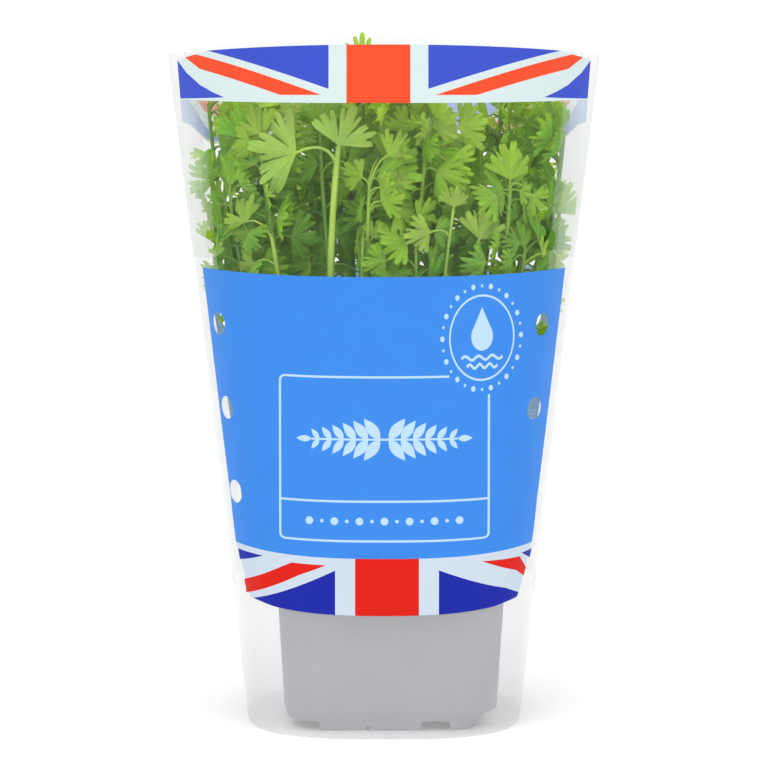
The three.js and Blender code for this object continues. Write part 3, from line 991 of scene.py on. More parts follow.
    def dots(self, x: float, z: float, count: int = 13, pitch: float = 5.4) -> None:
        """Add a row of dots that are large and small in turn.

        Args:
            x: The row's middle across.
            z: Its height.
            count: How many dots.
            pitch: From dot to dot.
        """
        for i in range(count):
            spot = disc(x + (i - (count - 1) / 2) * pitch, z, 0.8 if i % 2 else 1.7, 14)
            self.add(Ink.PALE_LINE, spot, self.short)

    def badge(self, x: float, z: float) -> None:
        """Add a round badge: a ring of beads about a ring, with a water drop over two waves.

        Args:
            x: Its centre across.
            z: Its centre's height.
        """
        stretch = 0.77  # the film turns away here, so a round mark is narrower across
        areas = [
            (disc(*spot, 0.7 if i % 2 else 1.25, 10), self.short)
            for i, spot in enumerate(disc(x, z, 22.4, 28))
        ]
        areas += [(area, self.short) for area in stroke(arc(x, z, 18.2, 0, 360, 60), 0.9)]
        areas.append((arc(x, z + 0.6, 6.2, -220, 40, 22) + [(x, z + 13.2)], 2))
        for row, reach in ((-8.6, 11.5), (-12.2, 8.5)):
            wave = [
                (x + reach * (i / 12 - 1), z + row + 0.9 * math.sin(i / 12 * 3 * math.pi))
                for i in range(25)
            ]
            areas += [(area, self.short) for area in stroke(wave, 1.2)]
        for area, step in areas:
            self.add(Ink.PALE_LINE, [(x + (px - x) * stretch, pz) for px, pz in area], step)

    def bowed(self, z: float, across: float) -> float:
        """Return the height on the bowed film of a printed point.

        Args:
            z: Its height on the flat film.
            across: Its share of the half width.

        Returns:
            Its height, under the mouth.
        """
        heights, rises = zip(*self.sags)
        lift = float(np.interp(z, heights, rises)) * abs(across) ** self.sag_power
        lowered = self.drop * clamp01((z - self.drop_from) / self.drop_over)
        start, over = self.ends
        lowered *= 1 - self.end_rise * smooth(clamp01((abs(across) - start) / over))
        return min(z + lift - lowered, SLEEVE.top(across) - self.below_mouth)

    def laid(self) -> list[tuple[Ink, list[Point]]]:
        """Lay the print on the bowed film.

        Returns:
            Each area's ink, and its outline as shares of the half width and heights.
        """
        placed = []
        for ink, corners in self.areas:
            points = []
            for x, z in corners:
                x = -x if self.mirror else x
                height = self.bowed(z, x / SLEEVE.half_width(z))
                across = x / SLEEVE.half_width(height)
                points.append((max(-self.last_share, min(self.last_share, across)), height))
            placed.append((ink, points[::-1] if self.mirror else points))
        return placed


@dataclass
class PanelMesh:
    """Triangles taken from one panel or from both, with the corners on the seams shared."""

    places: list[tuple[float, float, Side]] = field(default_factory=list)
    faces: list[Triangle] = field(default_factory=list)
    kinds: list[int] = field(default_factory=list)
    seams: dict[tuple[int, int], int] = field(default_factory=dict)
    last_share: float = 0.9999  # further out a corner is on a seam

    def number(self, place: Point, side: Side) -> int:
        """Number a corner.

        Args:
            place: Its share of the half width and height.
            side: Its panel.

        Returns:
            A new number, or the other panel's for the same place on a seam.
        """
        across, z = place
        if abs(across) <= self.last_share:
            self.places.append((across, z, side))
            return len(self.places) - 1
        key = (round(across), round(z * 100))
        if key not in self.seams:
            self.seams[key] = len(self.places)
            self.places.append((round(across), z, side))
        return self.seams[key]

    def take(self, points: list[Point], triangles: list[tuple[list[int], int]], side: Side) -> None:
        """Take triangles of a panel.

        Args:
            points: The panel's points.
            triangles: Each triangle's corners and its material number.
            side: The panel.
        """
        used: dict[int, int] = {}
        for corners, kind in triangles:
            for corner in corners:
                if corner not in used:
                    used[corner] = self.number(points[corner], side)
            a, b, c = (used[corner] for corner in corners)
            if len({a, b, c}) == 3:
                self.faces.append((a, b, c) if side is Side.FRONT else (c, b, a))
                self.kinds.append(kind)


@dataclass
class FilmSleeve:
    """The clear film and the inks printed on its outside."""

    film_insets: Point = (0.16, 0.4)
    ink_insets: Point = (0.0, 0.1)
    columns: int = 44
    rows: int = 56
    haze_height: float = 62  # the film under the print is cloudier, and the print hides where that starts
    # Where the zones towards the seams start: painted reflection, paler and more opaque at each step.
    reflection_starts: tuple[Point, ...] = ((-0.86, 0.845), (-0.895, 0.885), (-0.93, 0.925))
    reflection_steps: int = 60
    zone_kinds: tuple[int, ...] = (0, 2, 1, 1, 2, 2, 3, 3)  # film finish of the open panel and each zone
    flat_scale: float = 90.0  # turns shares of the half width into about millimetres
    # The inks' backs get an emission glow: painted light that passes through the print.
    back_painted_glow: float = 0.35  # the inks' pale backs pass some of the light from outside
    inks: dict[Ink, list[bpy.types.Material]] = field(default_factory=dict)

    def shares(self) -> list[float]:
        """Return the net's columns as shares of the half width, closer together at the seams."""
        return [math.sin(math.pi * (i / self.columns - 0.5)) for i in range(self.columns + 1)]

    def grid(self) -> list[Point]:
        """Return a net of shares and heights over a panel, with its edges."""
        rows = range(self.rows + 1)
        return [(across, SLEEVE.top(across) * j / self.rows) for across in self.shares() for j in rows]

    def border(self) -> list[Point]:
        """Outline a whole panel.

        Returns:
            Shares of the half width and heights round it.
        """
        low = [(across, 0.0) for across in self.shares()]
        high = [(across, SLEEVE.top(across)) for across in reversed(self.shares())]
        rises = [SLEEVE.top(1) * (j / self.rows) for j in range(1, self.rows)]
        return low + [(1.0, z) for z in rises] + high + [(-1.0, z) for z in reversed(rises)]

    def zones(self) -> list[list[Point]]:
        """Outline a panel's cloudy part low down and its parts with painted reflection towards the seams.

        Returns:
            The part low down, then those at the left and right in steps towards the seams.
        """
        low, over, side = self.haze_height, 2.0, 1.03
        high = SLEEVE.top(0) + over
        zones = [box(-side, -over, side, low)]
        for starts in self.reflection_starts:
            for start, end in zip(starts, (-side, side)):
                rise = [(start, z) for z in np.linspace(low, high, self.reflection_steps)]
                zones.append(rise + [(end, high), (end, low)])
        return zones

    def divide(
        self, outlines: list[list[Point]]
    ) -> tuple[list[Point], list[tuple[list[int], list[int]]]]:
        """Split a panel into triangles that follow every outline.

        Args:
            outlines: Closed outlines in shares of the half width and heights.

        Returns:
            The points, and for each triangle its corners and the outlines that it lies in.
        """
        points: list[Vector] = []
        faces = []
        for outline in outlines:
            flat = [(across * self.flat_scale, z) for across, z in outline]
            turns = sum(x0 * z1 - x1 * z0 for (x0, z0), (x1, z1) in zip(flat, flat[1:] + flat[:1]))
            if turns < 0:
                flat.reverse()
            faces.append(list(range(len(points), len(points) + len(flat))))
            points += [Vector(place) for place in flat]
        points += [Vector((across * self.flat_scale, z)) for across, z in self.grid()]
        result = delaunay_2d_cdt(points, [], faces, 0, 1e-4, True)
        places = [(point.x / self.flat_scale, point.y) for point in result[0]]
        return places, list(zip(result[2], result[5]))

    def shell(self, name: str, panels: PanelMesh, insets: Point, backs: int) -> bpy.types.Object:
        """Give triangles on the sleeve their two skins and the walls between them.

        Args:
            name: The piece's name.
            panels: The triangles.
            insets: Depths of the two skins from the film's outer face.
            backs: What is added to a triangle's material number on the inner skin.

        Returns:
            The piece, a closed shell.
        """
        outer, inner = (
            np.array([SLEEVE.point(*place, inset) for place in panels.places]) for inset in insets
        )
        mesh, beside = two_skins(outer, inner, panels.faces)
        kinds = panels.kinds
        numbers = kinds + [kind + backs for kind in kinds] + [kinds[number] for number in beside]
        mesh.polygons.foreach_set("material_index", numbers)
        return new_object(name, mesh)

    def build_film(self) -> bpy.types.Object:
        """Build the clear film with its vents.

        Returns:
            The piece, both panels joined along the seams.
        """
        panels, zones = PanelMesh(), self.zones()
        for side in Side:
            points, triangles = self.divide([self.border()] + zones + SLEEVE.vents(side))
            kept = [
                (corners, self.zone_kinds[max(inside)])
                for corners, inside in triangles
                if 0 in inside and max(inside) <= len(zones)
            ]
            panels.take(points, kept, side)
        film = self.shell("film_sleeve", panels, self.film_insets, 0)
        for finish in (CLEAR_FILM, TURNING_FILM, SIDE_FILM, EDGE_FILM):
            film.data.materials.append(finish.build())
        return film

    def build_print(self, design: FilmPrint, name: str) -> bpy.types.Object:
        """Build a panel's inks, open at the vents.

        Args:
            design: The print.
            name: The piece's name.

        Returns:
            The piece.
        """
        areas, kinds, panels = design.laid(), list(Ink), PanelMesh()
        points, triangles = self.divide([outline for _, outline in areas] + SLEEVE.vents(design.side))
        kept = [
            (corners, kinds.index(areas[max(inside)][0]))
            for corners, inside in triangles
            if inside and max(inside) < len(areas)
        ]
        panels.take(points, kept, design.side)
        piece = self.shell(name, panels, self.ink_insets, len(kinds))
        for part in (0, 1):
            for ink in kinds:
                piece.data.materials.append(self.inks[ink][part])
        return piece

    def ink_finishes(self) -> dict[Ink, list[bpy.types.Material]]:
        """Build the inks' finishes.

        Returns:
            The face and the back of each ink.
        """
        finishes = {}
        for ink in Ink:
            parts = zip(("face", "back"), ink.value, (0.3, 0.5), (0.0, self.back_painted_glow))
            finishes[ink] = [
                Finish(
                    f"ink_{ink.name.lower()}_{part}", color, gloss, mottle=0.012, specular=0.12, glow=glow
                ).build()
                for part, color, gloss, glow in parts
            ]
        return finishes

    def build(self) -> list[bpy.types.Object]:
        """Build the film and both panels' inks.

        Returns:
            The three pieces.
        """
        self.inks = self.ink_finishes()
        film = self.build_film()
        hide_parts("sleeve")
        front = FilmPrint(Side.FRONT)
        front.bands()
        front.outline(-44.9, 45.3, 86.4, 157.2, [103.6], gap=True)
        front.sprig(0.2, 130.4, 31.5)
        front.dots(0.2, 95)
        front.badge(42.3, 173.3)
        back = FilmPrint(Side.BACK, mirror=True, drop=18.5)
        back.bands()
        back.outline(-44.9, 45.3, 92, 178, [108, 162], gap=False)
        back.sprig(0.2, 135, 31.5)
        back.dots(0.2, 100)
        back.dots(0.2, 170)
        pieces = [film, self.build_print(front, "front_print"), self.build_print(back, "back_print")]
        for piece in pieces:
            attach(piece, ROOT)
        return pieces


# Pot and compost


@dataclass
class GrowingPot:
    """The moulded square pot, as in the part's source, with rounder corners and edges."""

    centre: tuple[float, float] = (3, -2)
    height: float = 85
    wall: float = 1.4
    corner: float = 15
    lip_corner: float = 17
    corner_steps: int = 9
    bottom_half: float = 47
    top_half: float = 51.4
    lip_half: float = 52.7
    lip_height: float = 4
    lip_slope: float = 1.5
    shoulder: float = 9
    foot_centre: tuple[float, float] = (0, -2)
    foot_half: float = 43
    foot_taper: float = 1
    foot_wall: float = 3
    floor: float = 6
    floor_thickness: float = 2
    floor_inset: float = 2
    floor_blend: float = 4
    raised_corner: tuple[float, float, float] = (-31.5, 5, 4.2)  # right side, back and height
    foot_openings: tuple[tuple[float, float, float], ...] = ((-10, 1.8, 1.8), (19.8, 13, 4.3))
    drain_radius: float = 4
    drain_offset: float = 22
    edge: float = 0.5

    def ring(self, half: float, corner: float, z: float, at_foot: bool = False) -> np.ndarray:
        """Lay a rounded square.

        Args:
            half: Half its width.
            corner: Radius of its corners.
            z: Its height.
            at_foot: True where it stands about the foot ring's axis and not the pot's.

        Returns:
            Points round it.
        """
        middle_x, middle_y = self.foot_centre if at_foot else self.centre
        points = []
        for quarter in range(4):
            middle = (quarter + 0.5) * math.pi / 2
            x = middle_x + math.copysign(half - corner, math.cos(middle))
            y = middle_y + math.copysign(half - corner, math.sin(middle))
            for i in range(self.corner_steps + 1):
                turn = (quarter + i / self.corner_steps) * math.pi / 2
                points.append((x + corner * math.cos(turn), y + corner * math.sin(turn), z))
        return np.array(points)

    def wall_half(self, z: float) -> float:
        """Return the outer half width of the side wall at a height."""
        return lerp(self.bottom_half, self.top_half, (z - self.shoulder) / (self.height - self.shoulder))

    def profile(self) -> list[np.ndarray]:
        """Lay the pot's rings.

        Returns:
            The rings from the recess under the floor, out and up, and down the inside.
        """
        edge, corner, taper = self.edge, self.corner, self.foot_taper
        foot, lip_base, lip = self.foot_half, self.height - self.lip_height, self.lip_half
        recess, low, tuck = foot - self.foot_wall, self.floor - taper / 2, 0.05
        blend, wall_half = self.shoulder + self.floor_blend, self.wall_half
        inner_top = wall_half(self.height) - self.wall
        sides = [lerp(self.shoulder, lip_base, share) for share in (0.25, 0.5, 0.75)]
        groups = (
            (corner - self.foot_wall, True, [
                (recess - 2 * edge, low), (recess, low - 2 * edge),
                (recess - taper + edge, edge), (recess - taper + 2 * edge, 0),
            ]),
            (corner, True, [(foot - taper - edge, 0), (foot - taper, edge), (foot, self.floor - taper)]),
            (corner, False, [
                (wall_half(self.shoulder) - edge, self.shoulder - edge),
                (wall_half(self.shoulder), self.shoulder + edge),
                *[(wall_half(z), z) for z in sides],
                (wall_half(lip_base) - tuck, lip_base - self.lip_slope),
            ]),
            (self.lip_corner, False, [
                (lip - edge, lip_base - edge), (lip, lip_base + edge),
                (lip, self.height - edge), (lip - edge, self.height),
            ]),
            (corner - self.wall, False, [
                (inner_top + edge, self.height), (inner_top, self.height - edge),
                (wall_half(blend) - self.wall, blend),
                (
                    wall_half(self.shoulder) - self.wall - self.floor_inset,
                    self.floor + self.floor_thickness,
                ),
            ]),
        )
        return [
            self.ring(half, radius, z, at_foot)
            for radius, at_foot, steps in groups for half, z in steps
        ]

    def arch(self, width: float, height: float, at: float, crosswise: bool) -> bpy.types.Object:
        """Build the cutter of one opening through both sides of the foot ring.

        Args:
            width: Width of the opening.
            height: Height of the opening.
            at: Place along the side from the pot's axis.
            crosswise: True where it runs from side to side and not front to back.

        Returns:
            The cutter.
        """
        over, reach, rounding = 2.0, 1.5 * self.foot_half, min(2.2, width * 0.35, height * 0.6)
        flare = min(1.3, width * 0.3)
        section = [(-width / 2 - flare * out, z) for out, z in ((0, 1.2), (0.3, 0.35), (1, 0), (1, -over))]
        section += [(-x, z) for x, z in reversed(section)]
        section += arc(width / 2 - rounding, height - rounding, rounding, 0, 90, 5)
        section += arc(-width / 2 + rounding, height - rounding, rounding, 90, 180, 5)
        rings = []
        for end in (reach, -reach):
            if crosswise:
                ring = [(self.centre[0] - end, self.centre[1] + at + a, z) for a, z in section]
            else:
                ring = [(self.centre[0] + at + a, self.centre[1] + end, z) for a, z in section]
            rings.append(np.array(ring))
        return new_object("arch_cutter", loft(rings))

    def corner_cut(self) -> bpy.types.Object:
        """Build the cutter that raises the front left foot off the floor.

        Returns:
            The cutter.
        """
        right, back, rise = self.raised_corner
        reach, edge = 2 * self.foot_half, 0.8
        rings = []
        for z, grow in ((-2, 1.3), (0, 1.3), (0.35, 0.4), (1.2, 0.0), (rise - edge, 0.0), (rise, -edge)):
            x, y = self.centre[0] + right + grow, self.centre[1] + back + grow
            rings.append(np.array([(*place, z) for place in box(x - reach, y - reach, x, y)]))
        return new_object("corner_cutter", loft(rings))

    def drain(self, x: float, y: float) -> bpy.types.Object:
        """Build the cutter of one drain hole.

        Args:
            x: Its place across from the pot's axis.
            y: Its place in depth.

        Returns:
            The cutter.
        """
        ring = disc(self.centre[0] + x, self.centre[1] + y, self.drain_radius, 28)
        levels = (self.floor - 4, self.floor + self.floor_thickness + 2)
        return new_object("drain_cutter", loft([np.array([(*place, z) for place in ring]) for z in levels]))

    def build(self) -> bpy.types.Object:
        """Build the pot.

        Returns:
            The piece, which stands for the CAD pot.
        """
        body = new_object("pot_body", loft(self.profile()))
        cutters = []
        for at, width, height in self.foot_openings:
            cutters += [self.arch(width, height, at, False), self.arch(width, height, at, True)]
        cutters.append(self.corner_cut())
        for x, y in ((0, 0), (1, 1), (1, -1), (-1, 1), (-1, -1)):
            cutters.append(self.drain(x * self.drain_offset, y * self.drain_offset))
        pot = cut_by(body, cutters, "moulded_pot")
        shade_by_angle(pot.data, 35)
        pot.data.materials.clear()
        pot.data.materials.append(POT_PLASTIC.build())
        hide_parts("pot")
        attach(pot, ROOT)
        return pot


def shade_by_angle(mesh: bpy.types.Mesh, degrees: float) -> None:
    """Shade a mesh smooth, with sharp edges where its faces meet at more than an angle.

    Args:
        mesh: The mesh, whose doubles are merged first.
        degrees: The angle.
    """
    cleaner = bmesh.new()
    cleaner.from_mesh(mesh)
    bmesh.ops.remove_doubles(cleaner, verts=cleaner.verts, dist=1e-6)
    bmesh.ops.recalc_face_normals(cleaner, faces=cleaner.faces)
    limit = math.radians(degrees)
    for face in cleaner.faces:
        face.smooth = True
    for edge in cleaner.edges:
        edge.smooth = edge.is_manifold and edge.calc_face_angle(0.0) < limit
    cleaner.to_mesh(mesh)
    cleaner.free()


@dataclass
class CompostBed:
    """The compost, with a crumbly top of seeded crumbs that Geometry Nodes scatter over it."""

    pot: GrowingPot
    depth: float = 66
    fit: float = 0.3
    surface_rings: int = 22
    lump: float = 1.5
    lump_key: int = 900  # first key of the lumps' draws
    swell: float = 0.8
    swell_lengths: Point = (9, 7)
    crumbs: float = 90000.0  # per square metre
    crumb_size: Point = (0.5, 1.5)
    crumb_spread: Point = (0.75, 1.25)
    crumb_key: int = 950
    least_level: float = 0.6  # how far up a face looks that carries crumbs
    seed: int = 11

    def half(self, z: float) -> float:
        """Return the half width of the compost at a height."""
        return self.pot.wall_half(z) - self.pot.wall - self.fit

    def body(self) -> bpy.types.Mesh:
        """Build the closed body of compost.

        Returns:
            The mesh, with a lumpy top.
        """
        pot, inner = self.pot, self.pot.corner - self.pot.wall
        base, blend = pot.floor + pot.floor_thickness + self.fit, pot.shoulder + pot.floor_blend
        top, (along, back) = base + self.depth, self.swell_lengths
        rings = [
            pot.ring(self.half(pot.shoulder) - pot.floor_inset, inner, base),
            pot.ring(self.half(blend), inner, blend),
        ]
        for i in range(self.surface_rings):
            share = 1 - i / self.surface_rings
            ring = pot.ring(self.half(top) * share, inner * share, top)
            for j, point in enumerate(ring):
                swell = self.swell * math.sin(point[0] / along) * math.cos(point[1] / back)
                point[2] += self.lump * swing(self.lump_key + i, j) + swell
            rings.append(ring)
        return loft(rings)

    def crumb(self) -> bpy.types.Object:
        """Build one crumb.

        Returns:
            An uneven ball of few faces.
        """
        ball = bmesh.new()
        bmesh.ops.create_icosphere(ball, subdivisions=1, radius=1.0)
        for i, vertex in enumerate(ball.verts):
            vertex.co *= lerp(*self.crumb_spread, draw(self.crumb_key, i))
        mesh = bpy.data.meshes.new("crumb")
        ball.to_mesh(mesh)
        ball.free()
        mesh.shade_smooth()
        return new_object("crumb", mesh)

    def tree(self) -> NodeTree:
        """Write the tree that scatters crumbs over what faces up.

        Returns:
            The tree.
        """
        tree = NodeTree("Crumbly top", {
            "Crumb": "Object", "Density": "Float", "Smallest": "Float", "Largest": "Float",
            "Seed": "Int", "Finish": "Material",
        })
        given = tree.given
        bed, seed = given["Geometry"], given["Seed"]
        normal = tree.node("ShaderNodeSeparateXYZ", {0: tree.value("GeometryNodeInputNormal")})
        level = {"A": normal.outputs["Z"], "B": self.least_level}
        up = tree.value("FunctionNodeCompare", level, data_type="FLOAT", operation="GREATER_THAN")
        spread = {"Mesh": bed, "Selection": up, "Density": given["Density"], "Seed": seed}
        limits = {tree.number_least: given["Smallest"], tree.number_most: given["Largest"], "Seed": seed}
        turns = {"Max": (math.tau,) * 3, "Seed": seed}
        turn = tree.value("FunctionNodeRandomValue", turns, data_type="FLOAT_VECTOR")
        crumbs = tree.value("GeometryNodeInstanceOnPoints", {
            "Points": tree.value("GeometryNodeDistributePointsOnFaces", spread, distribute_method="RANDOM"),
            "Instance": tree.value("GeometryNodeObjectInfo", {"Object": given["Crumb"]}, "Geometry"),
            "Rotation": tree.value("FunctionNodeEulerToRotation", {"Euler": turn}),
            "Scale": tree.value("FunctionNodeRandomValue", limits, tree.number_result, data_type="FLOAT"),
        })
        both = tree.value("GeometryNodeJoinGeometry", {"Geometry": [crumbs, bed]})
        real = tree.value("GeometryNodeRealizeInstances", {"Geometry": both})
        finished = {"Geometry": real, "Material": given["Finish"]}
        tree.close(tree.value("GeometryNodeSetMaterial", finished))
        return tree

    def build(self) -> bpy.types.Object:
        """Build the compost.

        Returns:
            The piece, which stands for the CAD compost.
        """
        crumb = self.crumb()
        values = {
            "Crumb": crumb, "Density": self.crumbs, "Seed": self.seed, "Finish": PEAT.build(),
            "Smallest": self.crumb_size[0] * MM, "Largest": self.crumb_size[1] * MM,
        }
        bed = self.tree().apply_to(new_object("bed", self.body()), values, "compost_bed")
        bpy.data.objects.remove(crumb)
        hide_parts("compost")
        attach(bed, ROOT)
        return bed


# Parsley


@dataclass(frozen=True)
class Leaflet:
    """A leaflet's place on its stalk and its measures, as in the part's source."""

    at: float
    angle: float
    stem: float
    size: float
    turn: float = 0
    tilt: float = 0


@dataclass(frozen=True)
class Stem:
    """A leafy stem's measures, as in the part's source, and the tint of its leaflets."""

    base: Point
    bend: tuple[float, float, float]
    top: tuple[float, float, float]
    facing: tuple[float, float, float]
    thick: float
    leaflets: tuple[Leaflet, ...]
    highest: float = 297
    tint: float = 0.3


@dataclass(frozen=True)
class Ring:
    """A ring of stems behind the front ones, as in the part's source."""

    count: int
    share: float
    start: float
    step: float
    heights: tuple[float, ...]
    up: float
    foot: float
    size: float
    side_leaflets: int


FRONT_STEMS = (
    Stem((-22, -30), (-26, -52, 205), (-19.5, -47, 256), (0, -1, 0.12), 1.35, (
        Leaflet(1, 0, 2, 18), Leaflet(0.93, 78, 19.5, 23, turn=-18, tilt=-20),
    ), tint=0.9),
    Stem((-33, -22), (-43, -38, 185), (-49, -36, 217), (-0.6, -1, 0.1), 1, (
        Leaflet(1, 50, 15, 13, turn=-46), Leaflet(0.96, -30, 10, 13, turn=24), Leaflet(0.82, 75, 12, 10),
    ), tint=0.72),
    Stem((26, -30), (34, -44, 180), (41, -42, 215), (0.4, -1, 0.1), 1, (
        Leaflet(1, -5, 2, 15), Leaflet(0.95, -48, 15, 12, turn=30),
    ), tint=0.85),
    Stem((18, -34), (24, -48, 190), (30, -47, 229), (0.25, -1, 0.1), 0.7, (
        Leaflet(1, 0, 2, 9), Leaflet(0.86, 80, 9, 12),
    ), tint=0.8),
    Stem((-4, -34), (-9, -50, 200), (-6, -48, 243), (0, -1, 0.15), 0.8, (
        Leaflet(1, -80, 3, 19, turn=20), Leaflet(0.95, 30, 6, 12),
    ), tint=0.5),
    Stem((-12, -36), (-10, -51, 180), (-9, -51, 217), (0.1, -1, 0.3), 0.8, (
        Leaflet(1, -125, 4, 12), Leaflet(0.9, 100, 8, 11),
    ), tint=0.45),
    Stem((12, -12), (12, -38, 225), (21, -41, 274), (0.1, -1, 0.3), 1, (
        Leaflet(1, 15, 3, 15), Leaflet(0.84, -55, 17, 14, turn=10),
    ), tint=0.55),
    Stem((31, -27), (54, -35, 195), (55, -33, 240), (0.6, -1, 0.15), 1, (
        Leaflet(1, 0, 3, 16), Leaflet(0.93, 75, 9, 14), Leaflet(0.9, -75, 9, 13, tilt=20),
    ), tint=0.45),
    Stem((36, -24), (58, -32, 175), (62, -28, 212), (0.7, -1, 0.1), 0.8, (
        Leaflet(1, -10, 2, 14), Leaflet(0.93, 80, 8, 12), Leaflet(0.85, -80, 7, 12),
    ), tint=0.35),
    Stem((-34, -8), (-66, -20, 200), (-68, -20, 238), (-0.8, -1, 0.1), 0.9, (
        Leaflet(1, 0, 3, 15), Leaflet(0.93, -75, 9, 13), Leaflet(0.89, 75, 7, 11),
    ), tint=0.35),
    Stem((-24, -12), (-52, -30, 220), (-54, -29, 260), (-0.5, -1, 0.2), 0.9, (
        Leaflet(1, 0, 3, 15), Leaflet(0.92, -76, 10, 14), Leaflet(0.88, 76, 8, 12),
    ), tint=0.5),
    Stem((10, -30), (14, -49, 190), (14, -47, 224), (0.1, -1, 0.1), 0.8, (
        Leaflet(1, -10, 2, 13), Leaflet(0.9, 80, 7, 11),
    ), tint=0.4),
    Stem((-10, -14), (-10, -24, 215), (-10, -20, 291), (0, -0.8, 0.5), 1, (
        Leaflet(1, 0, 3, 15), Leaflet(0.92, 72, 11, 15), Leaflet(0.89, -72, 11, 15),
    ), highest=308, tint=0.5),
)
RINGS = (
    Ring(10, 0.88, -36, 28, (228, 262, 205, 274), 0.2, 33, 16.5, 3),
    Ring(8, 0.56, 10, 45, (276, 242, 260), 0.6, 21, 17, 2),
    Ring(4, 0.22, 60, 90, (285, 266), 1.2, 9, 16, 2),
)
SIDE_LEAFLETS = ((0.9, 70.0, 13.0), (0.86, -70.0, 13.0), (0.7, 78.0, 14.0))


@dataclass
class Blade:
    """Where a leaflet's blade sits: its small stalk's path, its own directions and its radius."""

    start: np.ndarray
    middle: np.ndarray
    end: np.ndarray
    ahead: np.ndarray
    across: np.ndarray
    upright: np.ndarray
    size: float


@dataclass
class StemPlan:
    """A stem's measures with its curve worked out."""

    stem: Stem
    index: int
    spring_z: float = 78
    foot_z: float = 62
    step: float = 0.0001

    def at(self, share: float) -> np.ndarray:
        """Return the point at a share of the stalk's curve."""
        spring = np.array([*self.stem.base, self.spring_z], float)
        return curved(spring, np.array(self.stem.bend, float), np.array(self.stem.top, float), share)

    def along(self, share: float) -> np.ndarray:
        """Return the stalk's direction at a share of its curve."""
        return unit(self.at(min(1, share + self.step)) - self.at(max(0, share - self.step)))

    def facing(self) -> np.ndarray:
        """Return the direction that the leaflets look to."""
        return unit(np.array(self.stem.facing, float))


@dataclass
class FanForm:
    """A leaflet's fan of three toothed lobes, as in the part's source."""

    elbow: float = 0.4
    elbow_rise: float = 0.25
    lobes: tuple[float, ...] = (-58, 0, 58)
    lobe_scale: tuple[float, ...] = (0.9, 1, 0.9)
    teeth: tuple[Point, ...] = ((-24, 0.86), (-12, 0.82), (0, 1), (12, 0.82), (24, 0.86))
    notches: tuple[Point, ...] = ((-84, 0.3), (-29, 0.38), (29, 0.38), (84, 0.3))
    cup: float = -0.2
    pleat: float = 0.09
    thickness: float = 0.9

    def edge(self) -> list[Point]:
        """Outline the fan.

        Returns:
            Bearings and shares of the radius along its toothed edge.
        """
        places = []
        for lobe, scale, notch in zip(self.lobes, self.lobe_scale, self.notches):
            places.append(notch)
            places += [(lobe + offset, share * scale) for offset, share in self.teeth]
        return [*places, self.notches[-1]]

    def lift(self, bearing: float, share: float) -> float:
        """Return the cupped and pleated blade's height, as a share of the radius."""
        return self.cup * share * share + self.pleat * share * math.cos(math.tau * bearing / self.lobes[-1])

    def point(self, blade: Blade, place: Point, lift: float = 0.0) -> np.ndarray:
        """Place a point of a blade.

        Args:
            blade: The blade.
            place: Its bearing and share of the radius.
            lift: Its height off the blade's middle.

        Returns:
            The point.
        """
        bearing, share = place
        turn = math.radians(bearing)
        return (
            blade.end
            + blade.ahead * blade.size * share * math.cos(turn)
            + blade.across * blade.size * share * math.sin(turn)
            + blade.upright * (blade.size * self.lift(bearing, share) + lift)
        )


FAN = FanForm()


@dataclass
class GrowthRules:
    """How later tries at a leaflet's place stray, as in the part's source."""

    tries: int = 60
    film_gap: float = 2.2
    lowest: float = 84
    loose_after: int = 12
    angle_spread: float = 56
    tilt_spread: float = 70
    roll_spread: float = 76
    stem_spread: float = 0.6
    shrink: float = 0.3
    last_shoot: float = 0.985
    first_key: int = 40

    def plan(self, stem: StemPlan, slot: int, measures: Leaflet, attempt: int) -> Blade:
        """Work out a leaflet at a given try.

        Args:
            stem: The stem that it grows on.
            slot: The leaflet's number on the stem.
            measures: Its measures.
            attempt: The try's number.

        Returns:
            The leaflet's place.
        """
        loose = min(1.0, attempt / self.loose_after)
        keys = (self.first_key + stem.index, slot, attempt)
        start, along = stem.at(min(measures.at, self.last_shoot)), stem.along(measures.at)
        facing = stem.facing()
        facing = unit(facing - along * np.dot(facing, along))
        facing = turned(facing, along, measures.tilt + loose * self.tilt_spread * swing(*keys, 1))
        heading = turned(along, facing, measures.angle + loose * self.angle_spread * swing(*keys, 2))
        length = measures.stem * (1 + loose * self.stem_spread * swing(*keys, 3))
        size = measures.size * (1 - loose * self.shrink * draw(*keys, 4))
        end = start + heading * length
        middle = start + heading * FAN.elbow * length + along * FAN.elbow_rise * length
        ahead = unit(end - middle)
        upright = unit(facing - ahead * np.dot(facing, ahead))
        upright = turned(upright, ahead, loose * self.roll_spread * swing(*keys, 5))
        ahead = turned(ahead, upright, measures.turn)
        return Blade(start, middle, end, ahead, np.cross(upright, ahead), upright, size)

    def in_range(self, blade: Blade, highest: float) -> bool:
        """Tell if a leaflet stays inside the film, above the pot and under a height."""
        points = [blade.middle, blade.end, *[FAN.point(blade, place) for place in FAN.edge()]]
        return all(self.lowest < p[2] < highest and SLEEVE.inside(p, self.film_gap) for p in points)


GROWTH = GrowthRules()


